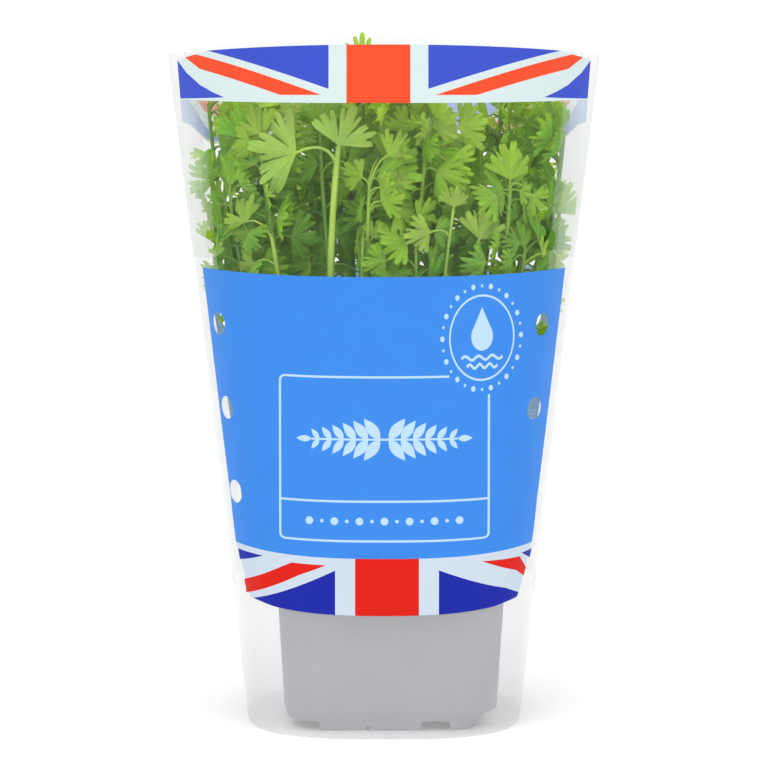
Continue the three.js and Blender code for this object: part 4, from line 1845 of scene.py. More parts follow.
@dataclass
class LeafletShape:
    """One curly leaflet at radius 1: three bent lobes, each of three wedge-shaped fingers with teeth."""

    seed: int
    deep: bool = False  # True for lobes that are cut almost to the stalk
    lean: float = 0.0  # degrees that the whole fan is turned about its stalk's end
    lobe_cleft: float = 4.2  # half the angle between two lobes' outer corners, in degrees
    finger_cleft: float = 1.3
    widest_cleft: float = 0.27  # share of a finger's own angle
    lobe_depths: Point = (0.3, 0.44)
    finger_depths: Point = (0.66, 0.84)
    shallowest_cleft: float = 0.84  # share of the shorter finger beside it
    deep_depths: Point = (0.17, 0.6)  # between lobes and between fingers
    spreads: Point = (0.76, 1.0)  # shares of the widest fan
    deep_spread: float = 0.84
    thickness: float = 0.022
    rib_shares: tuple[float, ...] = (0.3, 0.52, 0.7, 0.84)
    between_shares: Point = (0.26, 0.46)
    flat_share: float = 0.35  # share of the radius inside which the fingers don't curl
    deep_calm: float = 0.4  # share of the curl that the deeply cut shapes have
    first_key: int = 300  # of the draws
    side_finger: float = 0.88  # reach of a lobe's outer fingers, as a share of its middle one's
    longest: float = 1.04
    reach_spreads: Point = (0.08, 0.12)  # of each finger's reach and of each lobe's
    depth_spread: float = 0.14
    cleft_spread: float = 0.6
    turn_spread: float = 0.17
    shoulder: float = 0.17  # how much shorter a finger's corners are than its middle
    shoulder_power: float = 2.6
    tooth: float = 0.07
    tooth_power: float = 0.8
    tooth_level: float = 0.6
    toothed_from: float = -0.7  # draw from which a finger gets two teeth
    pleat: float = 0.03
    finger_curl: float = 0.17
    curl_power: float = 1.6
    lobe_curl: float = 0.2
    lobe_twist: float = 0.16
    finger_twist: float = 0.05
    fan_twist: float = 0.1

    def jitter(self, *keys: int) -> float:
        """Return a draw from -1 to 1 that belongs to this leaflet."""
        return 2 * swing(self.first_key + self.seed, *keys)

    def reach(self, finger: int) -> float:
        """Find how far a finger reaches.

        Args:
            finger: Its number.

        Returns:
            A share of the leaflet's radius.
        """
        by_finger, by_lobe = self.reach_spreads
        own = 1 + by_finger * self.jitter(finger, 1) + by_lobe * self.jitter(finger // 3, 11)
        reach = FAN.lobe_scale[finger // 3] * (1.0 if finger % 3 == 1 else self.side_finger)
        return min(self.longest, reach * own)

    def depth(self, gap: int) -> float:
        """Find how deep a cleft runs.

        Args:
            gap: The number of the finger after it.

        Returns:
            The share of the radius that it leaves.
        """
        if gap in (0, FINGERS):
            return FAN.notches[0][1]
        if self.deep:
            base = self.deep_depths[0 if gap % 3 == 0 else 1]
        else:
            depths = self.finger_depths if gap % 3 else self.lobe_depths
            base = lerp(*depths, draw(self.first_key + self.seed, 8))
        shallowest = self.shallowest_cleft * min(self.reach(gap - 1), self.reach(gap))
        return min(shallowest, base * (1 + self.depth_spread * self.jitter(gap, 2)))

    def cleft(self, gap: int) -> float:
        """Find half a cleft's width at the edge.

        Args:
            gap: The number of the finger after it.

        Returns:
            Degrees.
        """
        if gap in (0, FINGERS):
            return 0.0
        if gap % 3:
            return self.finger_cleft
        return self.lobe_cleft * (1 + self.cleft_spread * self.jitter(gap, 13))

    def finger_angle(self) -> float:
        """Return the angle between two fingers' ribs, in degrees."""
        spread = lerp(*self.spreads, draw(self.first_key + self.seed, 9))
        return FINGER_ANGLE * (self.deep_spread if self.deep else spread)

    def turn_of(self, gap: int) -> float:
        """Return the bearing of the cleft before a finger, in degrees."""
        astray = self.turn_spread * self.jitter(gap, 3)
        return self.lean + self.finger_angle() * (gap - MIDDLE_FINGER + astray)

    def place_of(self, bearing: float) -> float:
        """Return a bearing as a number of fingers from the fan's side."""
        return (bearing - self.lean) / self.finger_angle() + MIDDLE_FINGER

    def edge(self) -> list[Point]:
        """Outline the leaflet from one side to the other.

        Returns:
            Bearings and shares of the radius.
        """
        places = []
        for finger in range(FINGERS):
            left, right = self.turn_of(finger), self.turn_of(finger + 1)
            most = self.widest_cleft * (right - left)
            start = left + min(self.cleft(finger), most)
            end = right - min(self.cleft(finger + 1), most)
            places.append((left, self.depth(finger)))
            teeth, steps = (2, 10) if self.jitter(finger, 4) > self.toothed_from else (1, 7)
            for i in range(steps + 1):
                share = i / steps
                bulge = 1 - self.shoulder * abs(2 * share - 1) ** self.shoulder_power
                wave = abs(math.sin(math.pi * share * teeth)) ** self.tooth_power
                tooth = self.tooth * (wave - self.tooth_level)
                places.append((lerp(start, end, share), self.reach(finger) * (bulge + tooth)))
        return [*places, (self.turn_of(FINGERS), self.depth(FINGERS))]

    def inner_points(self) -> list[Point]:
        """Place points inside the outline.

        Returns:
            Bearings and shares of the radius, along the ribs and then between them.
        """
        places = []
        for finger in range(FINGERS):
            middle = (self.turn_of(finger) + self.turn_of(finger + 1)) / 2
            places += [(middle, self.reach(finger) * share) for share in self.rib_shares]
        for gap in range(1, FINGERS):
            reach = self.depth(gap) * 0.9
            places += [(self.turn_of(gap), share) for share in self.between_shares if share < reach]
        return places

    def lift(self, bearing: float, share: float) -> float:
        """Find the height of a place over the leaflet's plane.

        Args:
            bearing: The place's bearing in degrees.
            share: Its share of the radius.

        Returns:
            The height, from the cup, the pleats and the curled ends.
        """
        place = self.place_of(bearing)
        finger = min(FINGERS - 1, max(0, int(place)))
        lobe = finger // 3
        outer = max(0.0, (share - self.flat_share) / (1 - self.flat_share))
        aside = (place - 3 * lobe - 1.5) / 1.5  # from -1 to 1 across a lobe
        height = FAN.lift(bearing * FINGER_ANGLE / self.finger_angle(), share)
        height += self.pleat * share * math.cos(2 * math.pi * place)
        bend = self.finger_curl * self.jitter(finger, 5) * outer**self.curl_power
        bend += self.lobe_curl * self.jitter(lobe, 12) * share * share
        bend += self.lobe_twist * self.jitter(lobe, 14) * share * aside
        bend += self.finger_twist * self.jitter(finger, 6) * outer * math.sin(2 * math.pi * place)
        bend += self.fan_twist * share * self.jitter(7) * math.sin(math.radians(bearing))
        return height + (self.deep_calm if self.deep else 1.0) * bend

    def build(self, folder: bpy.types.Collection) -> None:
        """Build the leaflet's mesh.

        Args:
            folder: The collection that gets it as an object.
        """
        outline = [(0.0, 0.0)] + self.edge()
        flat = [
            Vector((-share * math.sin(math.radians(bearing)), share * math.cos(math.radians(bearing))))
            for bearing, share in outline + self.inner_points()
        ]
        result = delaunay_2d_cdt(flat, [], [list(range(len(outline)))], 0, 1e-6, True)
        faces = [tuple(corners) for corners, inside in zip(result[2], result[5]) if inside]
        points, polar = [], []
        for place in result[0]:
            share = place.length
            bearing = math.degrees(math.atan2(-place.x, place.y)) if share > 1e-6 else 0.0
            points.append((place.x, place.y, self.lift(bearing, share)))
            polar += [self.place_of(bearing), share, 1.0]
        half = np.array([0.0, 0.0, self.thickness / 2])
        mesh, _ = two_skins((np.array(points) + half) / MM, (np.array(points) - half) / MM, faces)
        store(mesh, "polar", "FLOAT_VECTOR", polar * 2)
        mesh.name = f"leaflet_{self.seed:02d}"
        folder.objects.link(bpy.data.objects.new(mesh.name, mesh))


@dataclass
class LeafyStem:
    """What one stem is built from: its stalks' paths and its leaflets."""

    plan: StemPlan
    blades: list[tuple[Blade, float]] = field(default_factory=list)
    steps: int = 18
    small_steps: int = 6
    girths: Point = (1.42, 0.95)  # radii at foot and tip for a stalk of thickness 1
    small_girths: Point = (0.78, 0.58)  # the same for a leaflet's own stalk
    leaf_girth: Point = (0.3, 0.035)  # its thickness at size 0, and what each millimetre adds
    rib: tuple[float, ...] = (0.1, 0.005, 0.5)  # how far it runs in and lies up, and its last girth
    palest: float = 0.86

    def paths(self) -> list[tuple[list[np.ndarray], list[float], float]]:
        """Lay the stalks.

        Returns:
            Points, radii and tint of the main stalk and of each leaflet's own.
        """
        stem, plan, steps = self.plan.stem, self.plan, self.steps
        foot, tip = (girth * stem.thick for girth in self.girths)
        (least, growth), (ahead, upright, last) = self.leaf_girth, self.rib
        points = [np.array([*stem.base, plan.foot_z], float)]
        points += [plan.at(i / steps) for i in range(steps + 1)]
        radii = [lerp(foot, tip, max(0, i - 1) / steps) for i in range(steps + 2)]
        found = [(points, radii, stem.tint)]
        for blade, tint in self.blades:
            control = 2 * blade.middle - (blade.start + blade.end) / 2
            shares = [i / self.small_steps for i in range(self.small_steps + 1)]
            line = [curved(blade.start, control, blade.end, share) for share in shares]
            widths = [lerp(*self.small_girths, share) * (least + growth * blade.size) for share in shares]
            line.append(blade.end + blade.ahead * blade.size * ahead + blade.upright * blade.size * upright)
            found.append((line, widths + [widths[-1] * last], tint))
        return found

    def kind(self, number: int, shapes: int) -> int:
        """Choose the shape of a leaflet: one of the deeply cut last two on the palest stem.

        Args:
            number: The leaflet's number on the stem.
            shapes: How many shapes there are.

        Returns:
            The shape's number.
        """
        if self.plan.stem.tint > self.palest:
            return shapes - 1 - number % 2
        return int(draw(70, self.plan.index, number) * (shapes - 2))

    def carrier(self, shapes: int) -> bpy.types.Object:
        """Build the mesh of paths and blade points that the stem's node tree grows from.

        Args:
            shapes: How many leaflet shapes there are to choose from.

        Returns:
            The carrier object.
        """
        points, edges, girths, tints = [], [], [], []
        for line, radii, tint in self.paths():
            edges += [(len(points) + i, len(points) + i + 1) for i in range(len(line) - 1)]
            points += line
            girths += [radius * MM for radius in radii]
            tints += [tint] * len(line)
        path_count = len(points)
        turns, kinds = [0.0] * (3 * path_count), [0] * path_count
        for number, (blade, tint) in enumerate(self.blades):
            points.append(blade.end)
            axes = Matrix([(-blade.across).tolist(), blade.ahead.tolist(), blade.upright.tolist()])
            turns += axes.transposed().to_euler("XYZ")
            kinds.append(self.kind(number, shapes))
            tints.append(tint)
            girths.append(blade.size * MM)
        mesh = bpy.data.meshes.new("carrier")
        mesh.from_pydata((np.array(points) * MM).tolist(), edges, [])
        store(mesh, "girth", "FLOAT", girths)
        store(mesh, "tint", "FLOAT", tints)
        store(mesh, "blade", "BOOLEAN", [i >= path_count for i in range(len(points))])
        store(mesh, "kind", "INT", kinds)
        store(mesh, "turn", "FLOAT_VECTOR", turns)
        return new_object("carrier", mesh)


class FoliageCover:
    """Nets that count the leaflets over each spot, as seen from the front, the side and above."""

    cell = 4.0
    low, high = 188.0, 288.0
    half = 96.0
    views = (((0, 2), 1.0), ((1, 2), 0.6), ((0, 1), 0.6))  # the two axes across a view, and its weight
    shares = (0.15, 0.45, 0.75)
    bearings = (-60, -30, 0, 30, 60)

    def __init__(self) -> None:
        """Make empty nets."""
        columns, rows = int(2 * self.half / self.cell), int((self.high - self.low) / self.cell)
        self.nets = [np.zeros((columns, rows if axes[1] == 2 else columns)) for axes, _ in self.views]

    def spots(self, blade: Blade, view: int) -> tuple[np.ndarray, np.ndarray]:
        """Find the cells that a leaflet covers.

        Args:
            blade: The leaflet.
            view: Number of the view.

        Returns:
            Column and row of each cell.
        """
        (across, up), net = self.views[view][0], self.nets[view]
        found = set()
        for place in ((bearing, share) for share in self.shares for bearing in self.bearings):
            point = FAN.point(blade, place)
            column = int((point[across] + self.half) / self.cell)
            row = int((point[up] - (self.low if up == 2 else -self.half)) / self.cell)
            if 0 <= column < net.shape[0] and 0 <= row < net.shape[1]:
                found.add((column, row))
        columns, rows = zip(*sorted(found)) if found else ((), ())
        return np.array(columns, int), np.array(rows, int)

    def need(self, blade: Blade) -> float:
        """Weigh how much a leaflet would fill.

        Args:
            blade: The leaflet.

        Returns:
            More where fewer leaflets stand.
        """
        total = 0.0
        for view, (_, weight) in enumerate(self.views):
            counts = self.nets[view][self.spots(blade, view)]
            total += weight * float((1 / (1 + counts) ** 2).sum())
        return total

    def add(self, blade: Blade) -> None:
        """Count a leaflet in."""
        for view, net in enumerate(self.nets):
            net[self.spots(blade, view)] += 1


class LeafRoom:
    """The room that a leaflet takes, for tests of what it crosses."""

    def __init__(self, blade: Blade) -> None:
        """Find a leaflet's lowest and highest corners and make a coarse mesh of it.

        Args:
            blade: The leaflet.
        """
        edge = [FAN.point(blade, place) for place in FAN.edge()]
        corners = np.array([blade.start, *edge])
        self.low, self.high = corners.min(0), corners.max(0)
        points = [Vector(point) for point in (blade.end, *edge, blade.start)]
        faces = [(0, i, i + 1) for i in range(1, len(edge))] + [(0, len(edge) + 1, 1)]
        self.solid = BVHTree.FromPolygons(points, faces)

    def crosses(self, others: list[LeafRoom]) -> bool:
        """Tell if the leaflet crosses others.

        Args:
            others: Their rooms.

        Returns:
            True where it crosses one.
        """
        return any(
            np.all(self.low <= other.high) and np.all(self.high >= other.low)
            and self.solid.overlap(other.solid)
            for other in others
        )


@dataclass(frozen=True)
class PressedLeaf:
    """A leaflet against the film: its place across and up, size and tint, and how it is laid.

    It lies along the film where facing is 0 and looks to the front from the fold where it is 1.
    """

    across: float
    z: float
    size: float
    tint: float
    inset: float = 2.6
    facing: float = 0.0


@dataclass
class PressedLeaves:
    """The leaflets that lie against the film at its vents and stand in its side folds."""

    steps: tuple[float, ...] = (0, 0.6, 1.2, 1.8, 2.4)  # further in from the film, tried in turn
    turns: tuple[float, ...] = (0, -20, 20, -40, 40, -60, 60)
    stems: int = 6  # the nearest stems that a leaflet can spring from
    drop: float = 9.0  # how far under the leaflet a stalk best springs
    stalk_from: float = 0.45
    fold_depth: float = 0.2  # share of the film's depth where the leaflets in the folds stand
    middle: float = 0.4  # share of a leaflet's radius from its stalk's end to the place that it covers
    leaves: tuple[PressedLeaf, ...] = (
        # At each vent the deeper leaflet gets the deepest green: painted shade seen through the vent.
        PressedLeaf(SLEEVE.vent_left, 211.5, 9, 0.6),
        PressedLeaf(SLEEVE.vent_left, 217, 12, 0.0, inset=4.4),
        PressedLeaf(SLEEVE.vent_right, 212, 9, 0.66),
        PressedLeaf(SLEEVE.vent_right, 217, 12, 0.05, inset=4.4),
        PressedLeaf(-0.92, 244, 15, 0.3, facing=1),
        PressedLeaf(-0.91, 230, 13, 0.35, facing=1),
        PressedLeaf(-0.9, 218, 11, 0.35, facing=1),
        PressedLeaf(0.92, 232, 15, 0.4, facing=1),
        PressedLeaf(0.91, 219, 11, 0.35, facing=1),
        PressedLeaf(0.92, 262, 14, 0.35, facing=1),
    )

    def springs(self, plans: list[StemPlan], leaf: PressedLeaf) -> list[tuple[float, int, np.ndarray]]:
        """Find where a leaflet's stalk can spring from.

        Args:
            plans: The stems.
            leaf: The leaflet.

        Returns:
            Distance, stem and point of each place, nearest first.
        """
        goal = SLEEVE.point(leaf.across, leaf.z - self.drop, Side.FRONT, leaf.inset)
        goal[1] *= 1 - leaf.facing
        found = []
        for plan in plans:
            places = [plan.at(share) for share in np.linspace(self.stalk_from, 1, 40)]
            distances = [float(np.linalg.norm(place - goal)) for place in places]
            nearest = int(np.argmin(distances))
            found.append((distances[nearest], plan.index, places[nearest]))
        return sorted(found, key=lambda spring: spring[0])[: self.stems]

    def blade(self, start: np.ndarray, leaf: PressedLeaf, inset: float, turn: float) -> Blade:
        """Place a leaflet.

        Args:
            start: Where its stalk springs from.
            leaf: Where it shows.
            inset: Its distance in from the film.
            turn: Its turn in its own plane, in degrees.

        Returns:
            The leaflet's place.
        """
        on_film = SLEEVE.point(leaf.across, leaf.z, Side.FRONT, inset)
        normal = unit(on_film - SLEEVE.point(leaf.across, leaf.z, Side.FRONT, inset + 1))
        outward = unit(lerp(normal, np.array([0.0, -1.0, 0.0]), leaf.facing))
        goal = on_film * np.array([1, lerp(1, self.fold_depth, leaf.facing), 1])
        ahead = goal - start
        ahead = unit(ahead - outward * np.dot(ahead, outward))
        angle = math.radians(turn)
        ahead = ahead * math.cos(angle) + np.cross(outward, ahead) * math.sin(angle)
        end = goal - ahead * leaf.size * self.middle
        side = np.cross(outward, ahead)
        return Blade(start, (start + end) / 2 + UP, end, ahead, side, outward, leaf.size)

    def tries(self, plans: list[StemPlan], leaf: PressedLeaf) -> Iterator[tuple[int, Blade]]:
        """Try a leaflet's places one after the other.

        Args:
            plans: The stems.
            leaf: The leaflet.

        Yields:
            The stem that it grows on and its place.
        """
        springs = self.springs(plans, leaf)
        for step in self.steps:
            for _, index, start in springs:
                for turn in self.turns:
                    yield index, self.blade(start, leaf, leaf.inset + step, turn)


@dataclass
class ExtraLeaves:
    """The leaflets that fill the room between the CAD model's."""

    rounds: int = 20  # leaflets tried on each stem
    tries: int = 30
    picks: int = 5  # places with room that a leaflet chooses from
    at: Point = (0.6, 0.995)
    upwards: float = 0.75  # under 1 sets more of them high on the stalk
    angle: Point = (30.0, 100.0)
    stalk: Point = (3.0, 15.0)
    size: Point = (9.5, 16.5)
    lean: float = 60.0
    highest: float = 292
    darker: float = 0.06
    first_slot: int = 100
    middle: float = 0.45  # share of a leaflet's radius from its stalk's end to its middle
    bare_stems: int = 4  # front stems that carry the CAD model's leaflets alone
    bare_view: tuple[float, ...] = (-34, -14, 190, 262, -30)  # left, right, bottom, top and depth
    gaps: tuple[tuple[float, float, float, float], ...] = (
        (-97, -73, 256, 292), (28, 54, 269, 285), (42, 70, 188, 211), (-40, -26, 276, 290),
        (82, 97, 238, 254),
    )

    def measures(self, keys: tuple[int, ...], attempt: int) -> Leaflet:
        """Draw a leaflet's measures.

        Args:
            keys: What names the leaflet's draws.
            attempt: The try's number.

        Returns:
            The measures.
        """
        tried = (*keys, attempt)
        return Leaflet(
            at=lerp(*self.at, draw(*tried, 1) ** self.upwards),
            angle=math.copysign(lerp(*self.angle, draw(*tried, 2)), swing(*tried, 5)),
            stem=lerp(*self.stalk, draw(*tried, 3)),
            size=lerp(*self.size, draw(*keys, 4)),
            tilt=2 * self.lean * swing(*tried, 6),
        )

    def kept_open(self, blade: Blade, room: LeafRoom) -> bool:
        """Tell if a leaflet hides the bare pale stalk or a gap that the photographed plant has.

        Args:
            blade: The leaflet.
            room: Its room.

        Returns:
            True where it does.
        """
        left, right, bottom, top, depth = self.bare_view
        (x0, y0, z0), (x1, _, z1) = room.low, room.high
        if x0 < right and x1 > left and z0 < top and z1 > bottom and y0 < depth:
            return True
        x, _, z = blade.end + blade.ahead * blade.size * self.middle
        return any(left < x < right and low < z < high for left, right, low, high in self.gaps)

    def choose(
        self, plan: StemPlan, slot: int, standing: list[LeafRoom], cover: FoliageCover
    ) -> tuple[Blade, LeafRoom] | None:
        """Choose the place of a stem's next leaflet.

        Args:
            plan: The stem.
            slot: The leaflet's number on it.
            standing: The leaflets that stand there.
            cover: Where they stand thick and thin.

        Returns:
            The place that fills most and its room, or None where there is none.
        """
        keys, picks = (72, plan.index, slot), []
        for attempt in range(self.tries):
            measures = self.measures(keys, attempt)
            blade = GROWTH.plan(plan, self.first_slot + slot, measures, attempt + GROWTH.loose_after)
            if not GROWTH.in_range(blade, min(plan.stem.highest, self.highest)):
                continue
            room = LeafRoom(blade)
            if self.kept_open(blade, room) or room.crosses(standing):
                continue
            picks.append((cover.need(blade), attempt, blade, room))
            if len(picks) == self.picks:
                break
        return max(picks, key=lambda pick: pick[:2])[2:] if picks else None


@dataclass
class Parsley:
    """The whole plant: the stems of the CAD model in fine detail, and more leaflets between them."""

    shape_count: int = 16
    ribs: int = 6
    groove: float = 0.84
    film_gap: float = 0.9
    root_x: float = 3  # the plant's axis
    soil: float = 78
    bend: Point = (0.94, 0.62)  # where a stem bends, as shares of its top's place out and up
    askew: float = 8
    height_spread: float = 10
    reach_spread: float = 0.06
    facing_spread: float = 90
    sideways: float = 0.6  # how far a stem's leaflets look to the side, and to the nearer panel
    forward: float = 0.5
    top_lean: float = 24
    top_stalk: float = 3
    side_sizes: Point = (0.82, 1.02)  # as shares of the ring's size
    thickness: Point = (0.8, 1.1)
    tints: Point = (0.22, 0.52)
    pale: float = 0.6  # tint above which a stem counts as pale
    tint_spread: float = 0.3
    pale_spread: float = 0.12
    # Painted light: how much paler a leaflet gets near the film and high up.
    outer_painted_light: float = 0.1
    higher_painted_light: float = 0.3
    tall: float = 302  # a stem that may reach above this is the tallest one
    tallest_scale: float = 0.92  # keeps the curls of the tallest stem under the CAD model's top
    deep_shapes: tuple[tuple[int, float], ...] = ((57, -13.0), (52, 0.0))  # seed and lean
    match_gap: float = 0.06  # millimetres between a planned tooth and the CAD mesh
    pressed: PressedLeaves = field(default_factory=PressedLeaves)
    extras: ExtraLeaves = field(default_factory=ExtraLeaves)

    def stems(self) -> list[StemPlan]:
        """Plan every stem.

        Returns:
            The plans, front ones first, in the CAD model's order.
        """
        ringed = [(ring, i) for ring in RINGS for i in range(ring.count)]
        stems = [*FRONT_STEMS, *[self.ring_stem(ring, i, key) for key, (ring, i) in enumerate(ringed)]]
        return [StemPlan(stem, index) for index, stem in enumerate(stems)]

    def ring_stem(self, ring: Ring, i: int, key: int) -> Stem:
        """Work out one stem of a ring.

        Args:
            ring: The ring.
            i: The stem's number on it.
            key: First key of the stem's draws.

        Returns:
            The stem's measures.
        """
        azimuth = math.radians(ring.start + i * ring.step + self.askew * swing(key, 1))
        height = ring.heights[i % len(ring.heights)] + self.height_spread * swing(key, 2)
        reach = ring.share + self.reach_spread * swing(key, 3)
        x, y = math.cos(azimuth), math.sin(azimuth)
        outward = np.array([self.sideways * x, y + self.forward * (-1 if y < 0 else 1), ring.up])
        facing = turned(outward, UP, self.facing_spread * swing(key, 7))
        section = SLEEVE.section(height)
        depth = section[1] * SLEEVE.bow(section, reach * x)
        top, (bend, bend_up) = (reach * x * section[0], reach * y * depth, height), self.bend
        leaflets = [Leaflet(1, self.top_lean * swing(key, 4), self.top_stalk, ring.size)]
        for j, (at, angle, length) in enumerate(SIDE_LEAFLETS[: ring.side_leaflets]):
            leaflets.append(Leaflet(at, angle, length, ring.size * lerp(*self.side_sizes, draw(key, 5, j))))
        return Stem(
            base=(self.root_x + x * ring.foot, y * ring.foot),
            bend=(bend * top[0], bend * top[1], lerp(self.soil, height, bend_up)),
            top=top,
            facing=tuple(facing),
            thick=lerp(*self.thickness, draw(key, 6)),
            leaflets=tuple(leaflets),
            tint=lerp(*self.tints, draw(key, 8)),
        )

    def grown(self, plan: StemPlan) -> list[Blade]:
        """Find the leaflets that the CAD node really has.

        Args:
            plan: The stem's plan.

        Returns:
            The place of each leaflet of the node.
        """
        node = frame["nodes"][f"leafy_stem_{plan.index + 1:02d}"]
        corners = KDTree(len(node.data.vertices))
        for number, vertex in enumerate(node.data.vertices):
            corners.insert(node.matrix_world @ vertex.co, number)
        corners.balance()
        tips = [place for place in FAN.edge() if place not in FAN.notches]
        found = []
        for slot, measures in enumerate(plan.stem.leaflets):
            for attempt in range(GROWTH.tries):
                blade = GROWTH.plan(plan, slot, measures, attempt)
                teeth = [FAN.point(blade, place, FAN.thickness / 2) * MM for place in tips]
                gaps = [corners.find(Vector(tooth))[2] for tooth in teeth]
                if sum(gap < self.match_gap * MM for gap in gaps) > len(tips) // 2:
                    found.append(blade)
                    break
        return found

    def tint(self, plan: StemPlan, number: int, blade: Blade) -> float:
        """Tint a leaflet: paler near the film and high up and darker deep inside, as painted light and
        shade, and paler on the pale front stems.

        Args:
            plan: Its stem.
            number: Its number on the stem.
            blade: Its place.

        Returns:
            The tint, from 0 for the deepest green to 1 for the palest.
        """
        # Painted light and shade: the leaflet is paler towards the film and the top of the foliage, darker
        # deep inside.
        film_depth, middle_depth, raised_from, raised_over, below_top = 50, 0.7, 245, 35, 290
        spread = self.pale_spread if plan.stem.tint > self.pale else self.tint_spread
        own = plan.stem.tint + spread * swing(71, plan.index, number)
        outer = abs(blade.end[1]) / film_depth - middle_depth
        height = blade.end[2]
        raised = clamp01((height - raised_from) / raised_over) if height < below_top else 0.0
        return clamp01(own + self.outer_painted_light * outer + self.higher_painted_light * raised)

    def tree(self) -> NodeTree:
        """Write the tree that grows ribbed stalks along paths and sets leaflets at points.

        Returns:
            The tree.
        """
        tree = NodeTree("Leafy stem", {
            "Leaflets": "Collection", "Ribs": "Int", "Groove": "Float",
            "Stalk finish": "Material", "Leaf finish": "Material",
        })
        given, girth = tree.given, tree.named("girth", "FLOAT")
        parts = {"Geometry": given["Geometry"], "Selection": tree.named("blade", "BOOLEAN")}
        split = tree.node("GeometryNodeSeparateGeometry", parts, domain="POINT")
        shapes = {"Collection": given["Leaflets"], "Separate Children": True, "Reset Children": True}
        turn = tree.value("FunctionNodeEulerToRotation", {"Euler": tree.named("turn", "FLOAT_VECTOR")})
        leaves = tree.value("GeometryNodeInstanceOnPoints", {
            "Points": split.outputs["Selection"],
            "Instance": tree.value("GeometryNodeCollectionInfo", shapes, transform_space="ORIGINAL"),
            "Pick Instance": True,
            "Instance Index": tree.named("kind", "INT"),
            "Rotation": turn,
            "Scale": girth,
        })
        leaf = {
            "Geometry": tree.value("GeometryNodeRealizeInstances", {"Geometry": leaves}),
            "Material": given["Leaf finish"],
        }
        star = {"Points": given["Ribs"], "Inner Radius": given["Groove"], "Outer Radius": 1.0}
        skin = tree.value("GeometryNodeCurveToMesh", {
            "Curve": tree.value("GeometryNodeMeshToCurve", {"Mesh": split.outputs["Inverted"]}),
            "Profile Curve": tree.value("GeometryNodeCurveStar", star),
            "Fill Caps": True,
            "Scale": girth,
        })
        stalk = {
            "Geometry": tree.value("GeometryNodeSetShadeSmooth", {"Geometry": skin}, domain="FACE"),
            "Material": given["Stalk finish"],
        }
        both = [tree.value("GeometryNodeSetMaterial", part) for part in (leaf, stalk)]
        tree.close(tree.value("GeometryNodeJoinGeometry", {"Geometry": both}))
        return tree

    def add_leaves(self, stems: list[LeafyStem]) -> int:
        """Add leaflets against the film and in the room that is left, clear of those that stand there.

        Args:
            stems: The stems, with the leaflets of the CAD model.

        Returns:
            How many leaflets were added.
        """
        blades = [blade for stem in stems for blade, _ in stem.blades]
        standing, cover, added = [LeafRoom(blade) for blade in blades], FoliageCover(), 0
        for blade in blades:
            cover.add(blade)
        plans = [stem.plan for stem in stems]
        for leaf in self.pressed.leaves:
            for index, blade in self.pressed.tries(plans, leaf):
                room = LeafRoom(blade)
                if not room.crosses(standing):
                    standing.append(room)
                    cover.add(blade)
                    stems[index].blades.append((blade, leaf.tint))
                    added += 1
                    LOG.info("pressed leaflet at %.2f, %.0f on stem %d", leaf.across, leaf.z, index + 1)
                    break
        for slot in range(self.extras.rounds):
            for stem in stems[self.extras.bare_stems :]:
                chosen = self.extras.choose(stem.plan, slot, standing, cover)
                if chosen:
                    blade, room = chosen
                    standing.append(room)
                    cover.add(blade)
                    tint = self.tint(stem.plan, self.extras.first_slot + slot, blade) - self.extras.darker
                    stem.blades.append((blade, tint))
                    added += 1
        return added

    def build(self) -> list[bpy.types.Object]:
        """Build every stem.

        Returns:
            One piece for each leafy stem, which stands for its CAD node.
        """
        folder = bpy.data.collections.new("leaflet_shapes")
        shapes = [LeafletShape(seed) for seed in range(self.shape_count - len(self.deep_shapes))]
        shapes += [LeafletShape(seed, deep=True, lean=lean) for seed, lean in self.deep_shapes]
        for shape in shapes:
            shape.build(folder)
        stems = []
        for plan in self.stems():
            stem = LeafyStem(plan)
            for number, blade in enumerate(self.grown(plan)):
                if plan.stem.highest > self.tall:
                    blade.size *= self.tallest_scale
                stem.blades.append((blade, self.tint(plan, number, blade)))
            stems.append(stem)
        found = sum(len(stem.blades) for stem in stems)
        planned = sum(len(stem.plan.stem.leaflets) for stem in stems)
        added = self.add_leaves(stems)
        LOG.info("leaflets: %d of %d found in the CAD stems, %d added", found, planned, added)
        tree = self.tree()
        values = {
            "Leaflets": folder, "Ribs": self.ribs, "Groove": self.groove,
            "Stalk finish": STALK_GREEN.build(), "Leaf finish": LEAF_GREEN.build(),
        }
        pieces = []
        for stem in stems:
            number = stem.plan.index + 1
            piece = tree.apply_to(stem.carrier(self.shape_count), values, f"parsley_stem_{number:02d}")
            SLEEVE.press_in(piece.data, self.film_gap)
            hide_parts(f"leafy_stem_{number:02d}")
            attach(piece, ROOT)
            pieces.append(piece)
        for shape in list(folder.objects):
            bpy.data.objects.remove(shape)
        bpy.data.collections.remove(folder)
        return pieces


# Studio


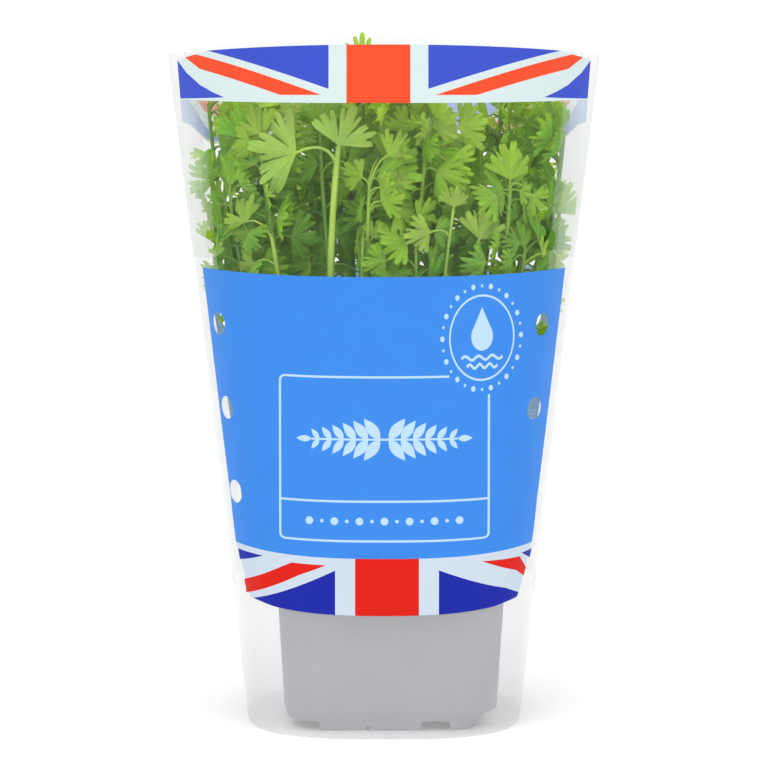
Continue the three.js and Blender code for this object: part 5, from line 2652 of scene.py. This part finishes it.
@dataclass
class Studio:
    """A white studio: a pale floor, soft lights and the camera of the photograph."""

    distance: float = 1.2
    target: tuple[float, float, float] = (0, 0, 0.1494)
    elevation: float = 4.7
    lens: float = 124.5
    sensor: float = 36
    nearest: float = 0.01
    lamps: tuple[tuple[str, tuple[float, float, float], float, float], ...] = (
        ("key_light", (-0.9, -1.5, 1.3), 1.1, 3), ("fill_light", (1.2, -1.3, 0.7), 1.1, 1.8),
    )
    sky_power: float = 0.9
    sky_spread: float = 70
    sky_tilt: Point = (34, -3)  # about X and then Y

    def floor(self) -> None:
        """Lay the pale floor."""
        mesh = bpy.data.meshes.new("floor")
        reach = 6.0
        corners = [(-reach, -reach, 0), (reach, -reach, 0), (reach, reach, 0), (-reach, reach, 0)]
        mesh.from_pydata(corners, [], [(0, 1, 2, 3)])
        floor = new_object("floor", mesh)
        finish = Finish("studio_floor", (0.97, 0.97, 0.97, 1), roughness=0.8, mottle=0.0, specular=0.1)
        floor.data.materials.append(finish.build())

    def lamp(self, name: str, place: tuple[float, float, float], size: float, power: float) -> None:
        """Hang a soft square lamp that looks at the object.

        Args:
            name: The lamp's name.
            place: Where it hangs, in metres.
            size: Length of its sides, in metres.
            power: Its power, in watts.
        """
        light = bpy.data.lights.new(name, "AREA")
        light.shape = "SQUARE"
        light.size = size
        light.energy = power
        lamp = bpy.data.objects.new(name, light)
        lamp.location = place
        lamp.rotation_euler = (Vector(self.target) - Vector(place)).to_track_quat("-Z", "Y").to_euler()
        bpy.context.collection.objects.link(lamp)

    def sky(self) -> None:
        """Light the studio from above and from all round."""
        sun = bpy.data.lights.new("sky_light", "SUN")
        sun.energy = self.sky_power
        sun.angle = math.radians(self.sky_spread)
        sky = bpy.data.objects.new("sky_light", sun)
        sky.rotation_euler = (*[math.radians(tilt) for tilt in self.sky_tilt], 0)
        bpy.context.collection.objects.link(sky)
        world = bpy.data.worlds.new("white_studio")
        world.use_nodes = True
        white = {"Color": (1, 1, 1, 1), "Strength": 1.0}
        NodeWriter(world.node_tree).fill(world.node_tree.nodes["Background"], white)
        bpy.context.scene.world = world

    def camera(self) -> None:
        """Set the camera in front."""
        camera = bpy.data.cameras.new("camera")
        camera.lens, camera.sensor_width, camera.clip_start = self.lens, self.sensor, self.nearest
        viewer = bpy.data.objects.new("camera", camera)
        rise = math.radians(self.elevation)
        away = Vector((0, -math.cos(rise), math.sin(rise))) * self.distance
        viewer.location = Vector(self.target) + away
        viewer.rotation_euler = (-away).to_track_quat("-Z", "Y").to_euler()
        bpy.context.collection.objects.link(viewer)
        bpy.context.scene.camera = viewer

    def build(self) -> None:
        """Build the floor, the lights and the camera."""
        self.floor()
        for lamp in self.lamps:
            self.lamp(*lamp)
        self.sky()
        bpy.context.scene.view_settings.view_transform = "Standard"
        self.camera()


def main() -> None:
    """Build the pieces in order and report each."""
    logging.basicConfig(level=logging.INFO, format="%(name)s: %(message)s")
    pot = GrowingPot()
    pieces = FilmSleeve().build()
    pieces.append(pot.build())
    pieces.append(CompostBed(pot).build())
    pieces += Parsley().build()
    Studio().build()
    total = 0
    for piece in pieces:
        piece.data.calc_loop_triangles()
        count = len(piece.data.loop_triangles)
        total += count
        LOG.info("%s: %d triangles", piece.name, count)
    LOG.info("all pieces: %d triangles", total)


if __name__ == "__main__":
    main()
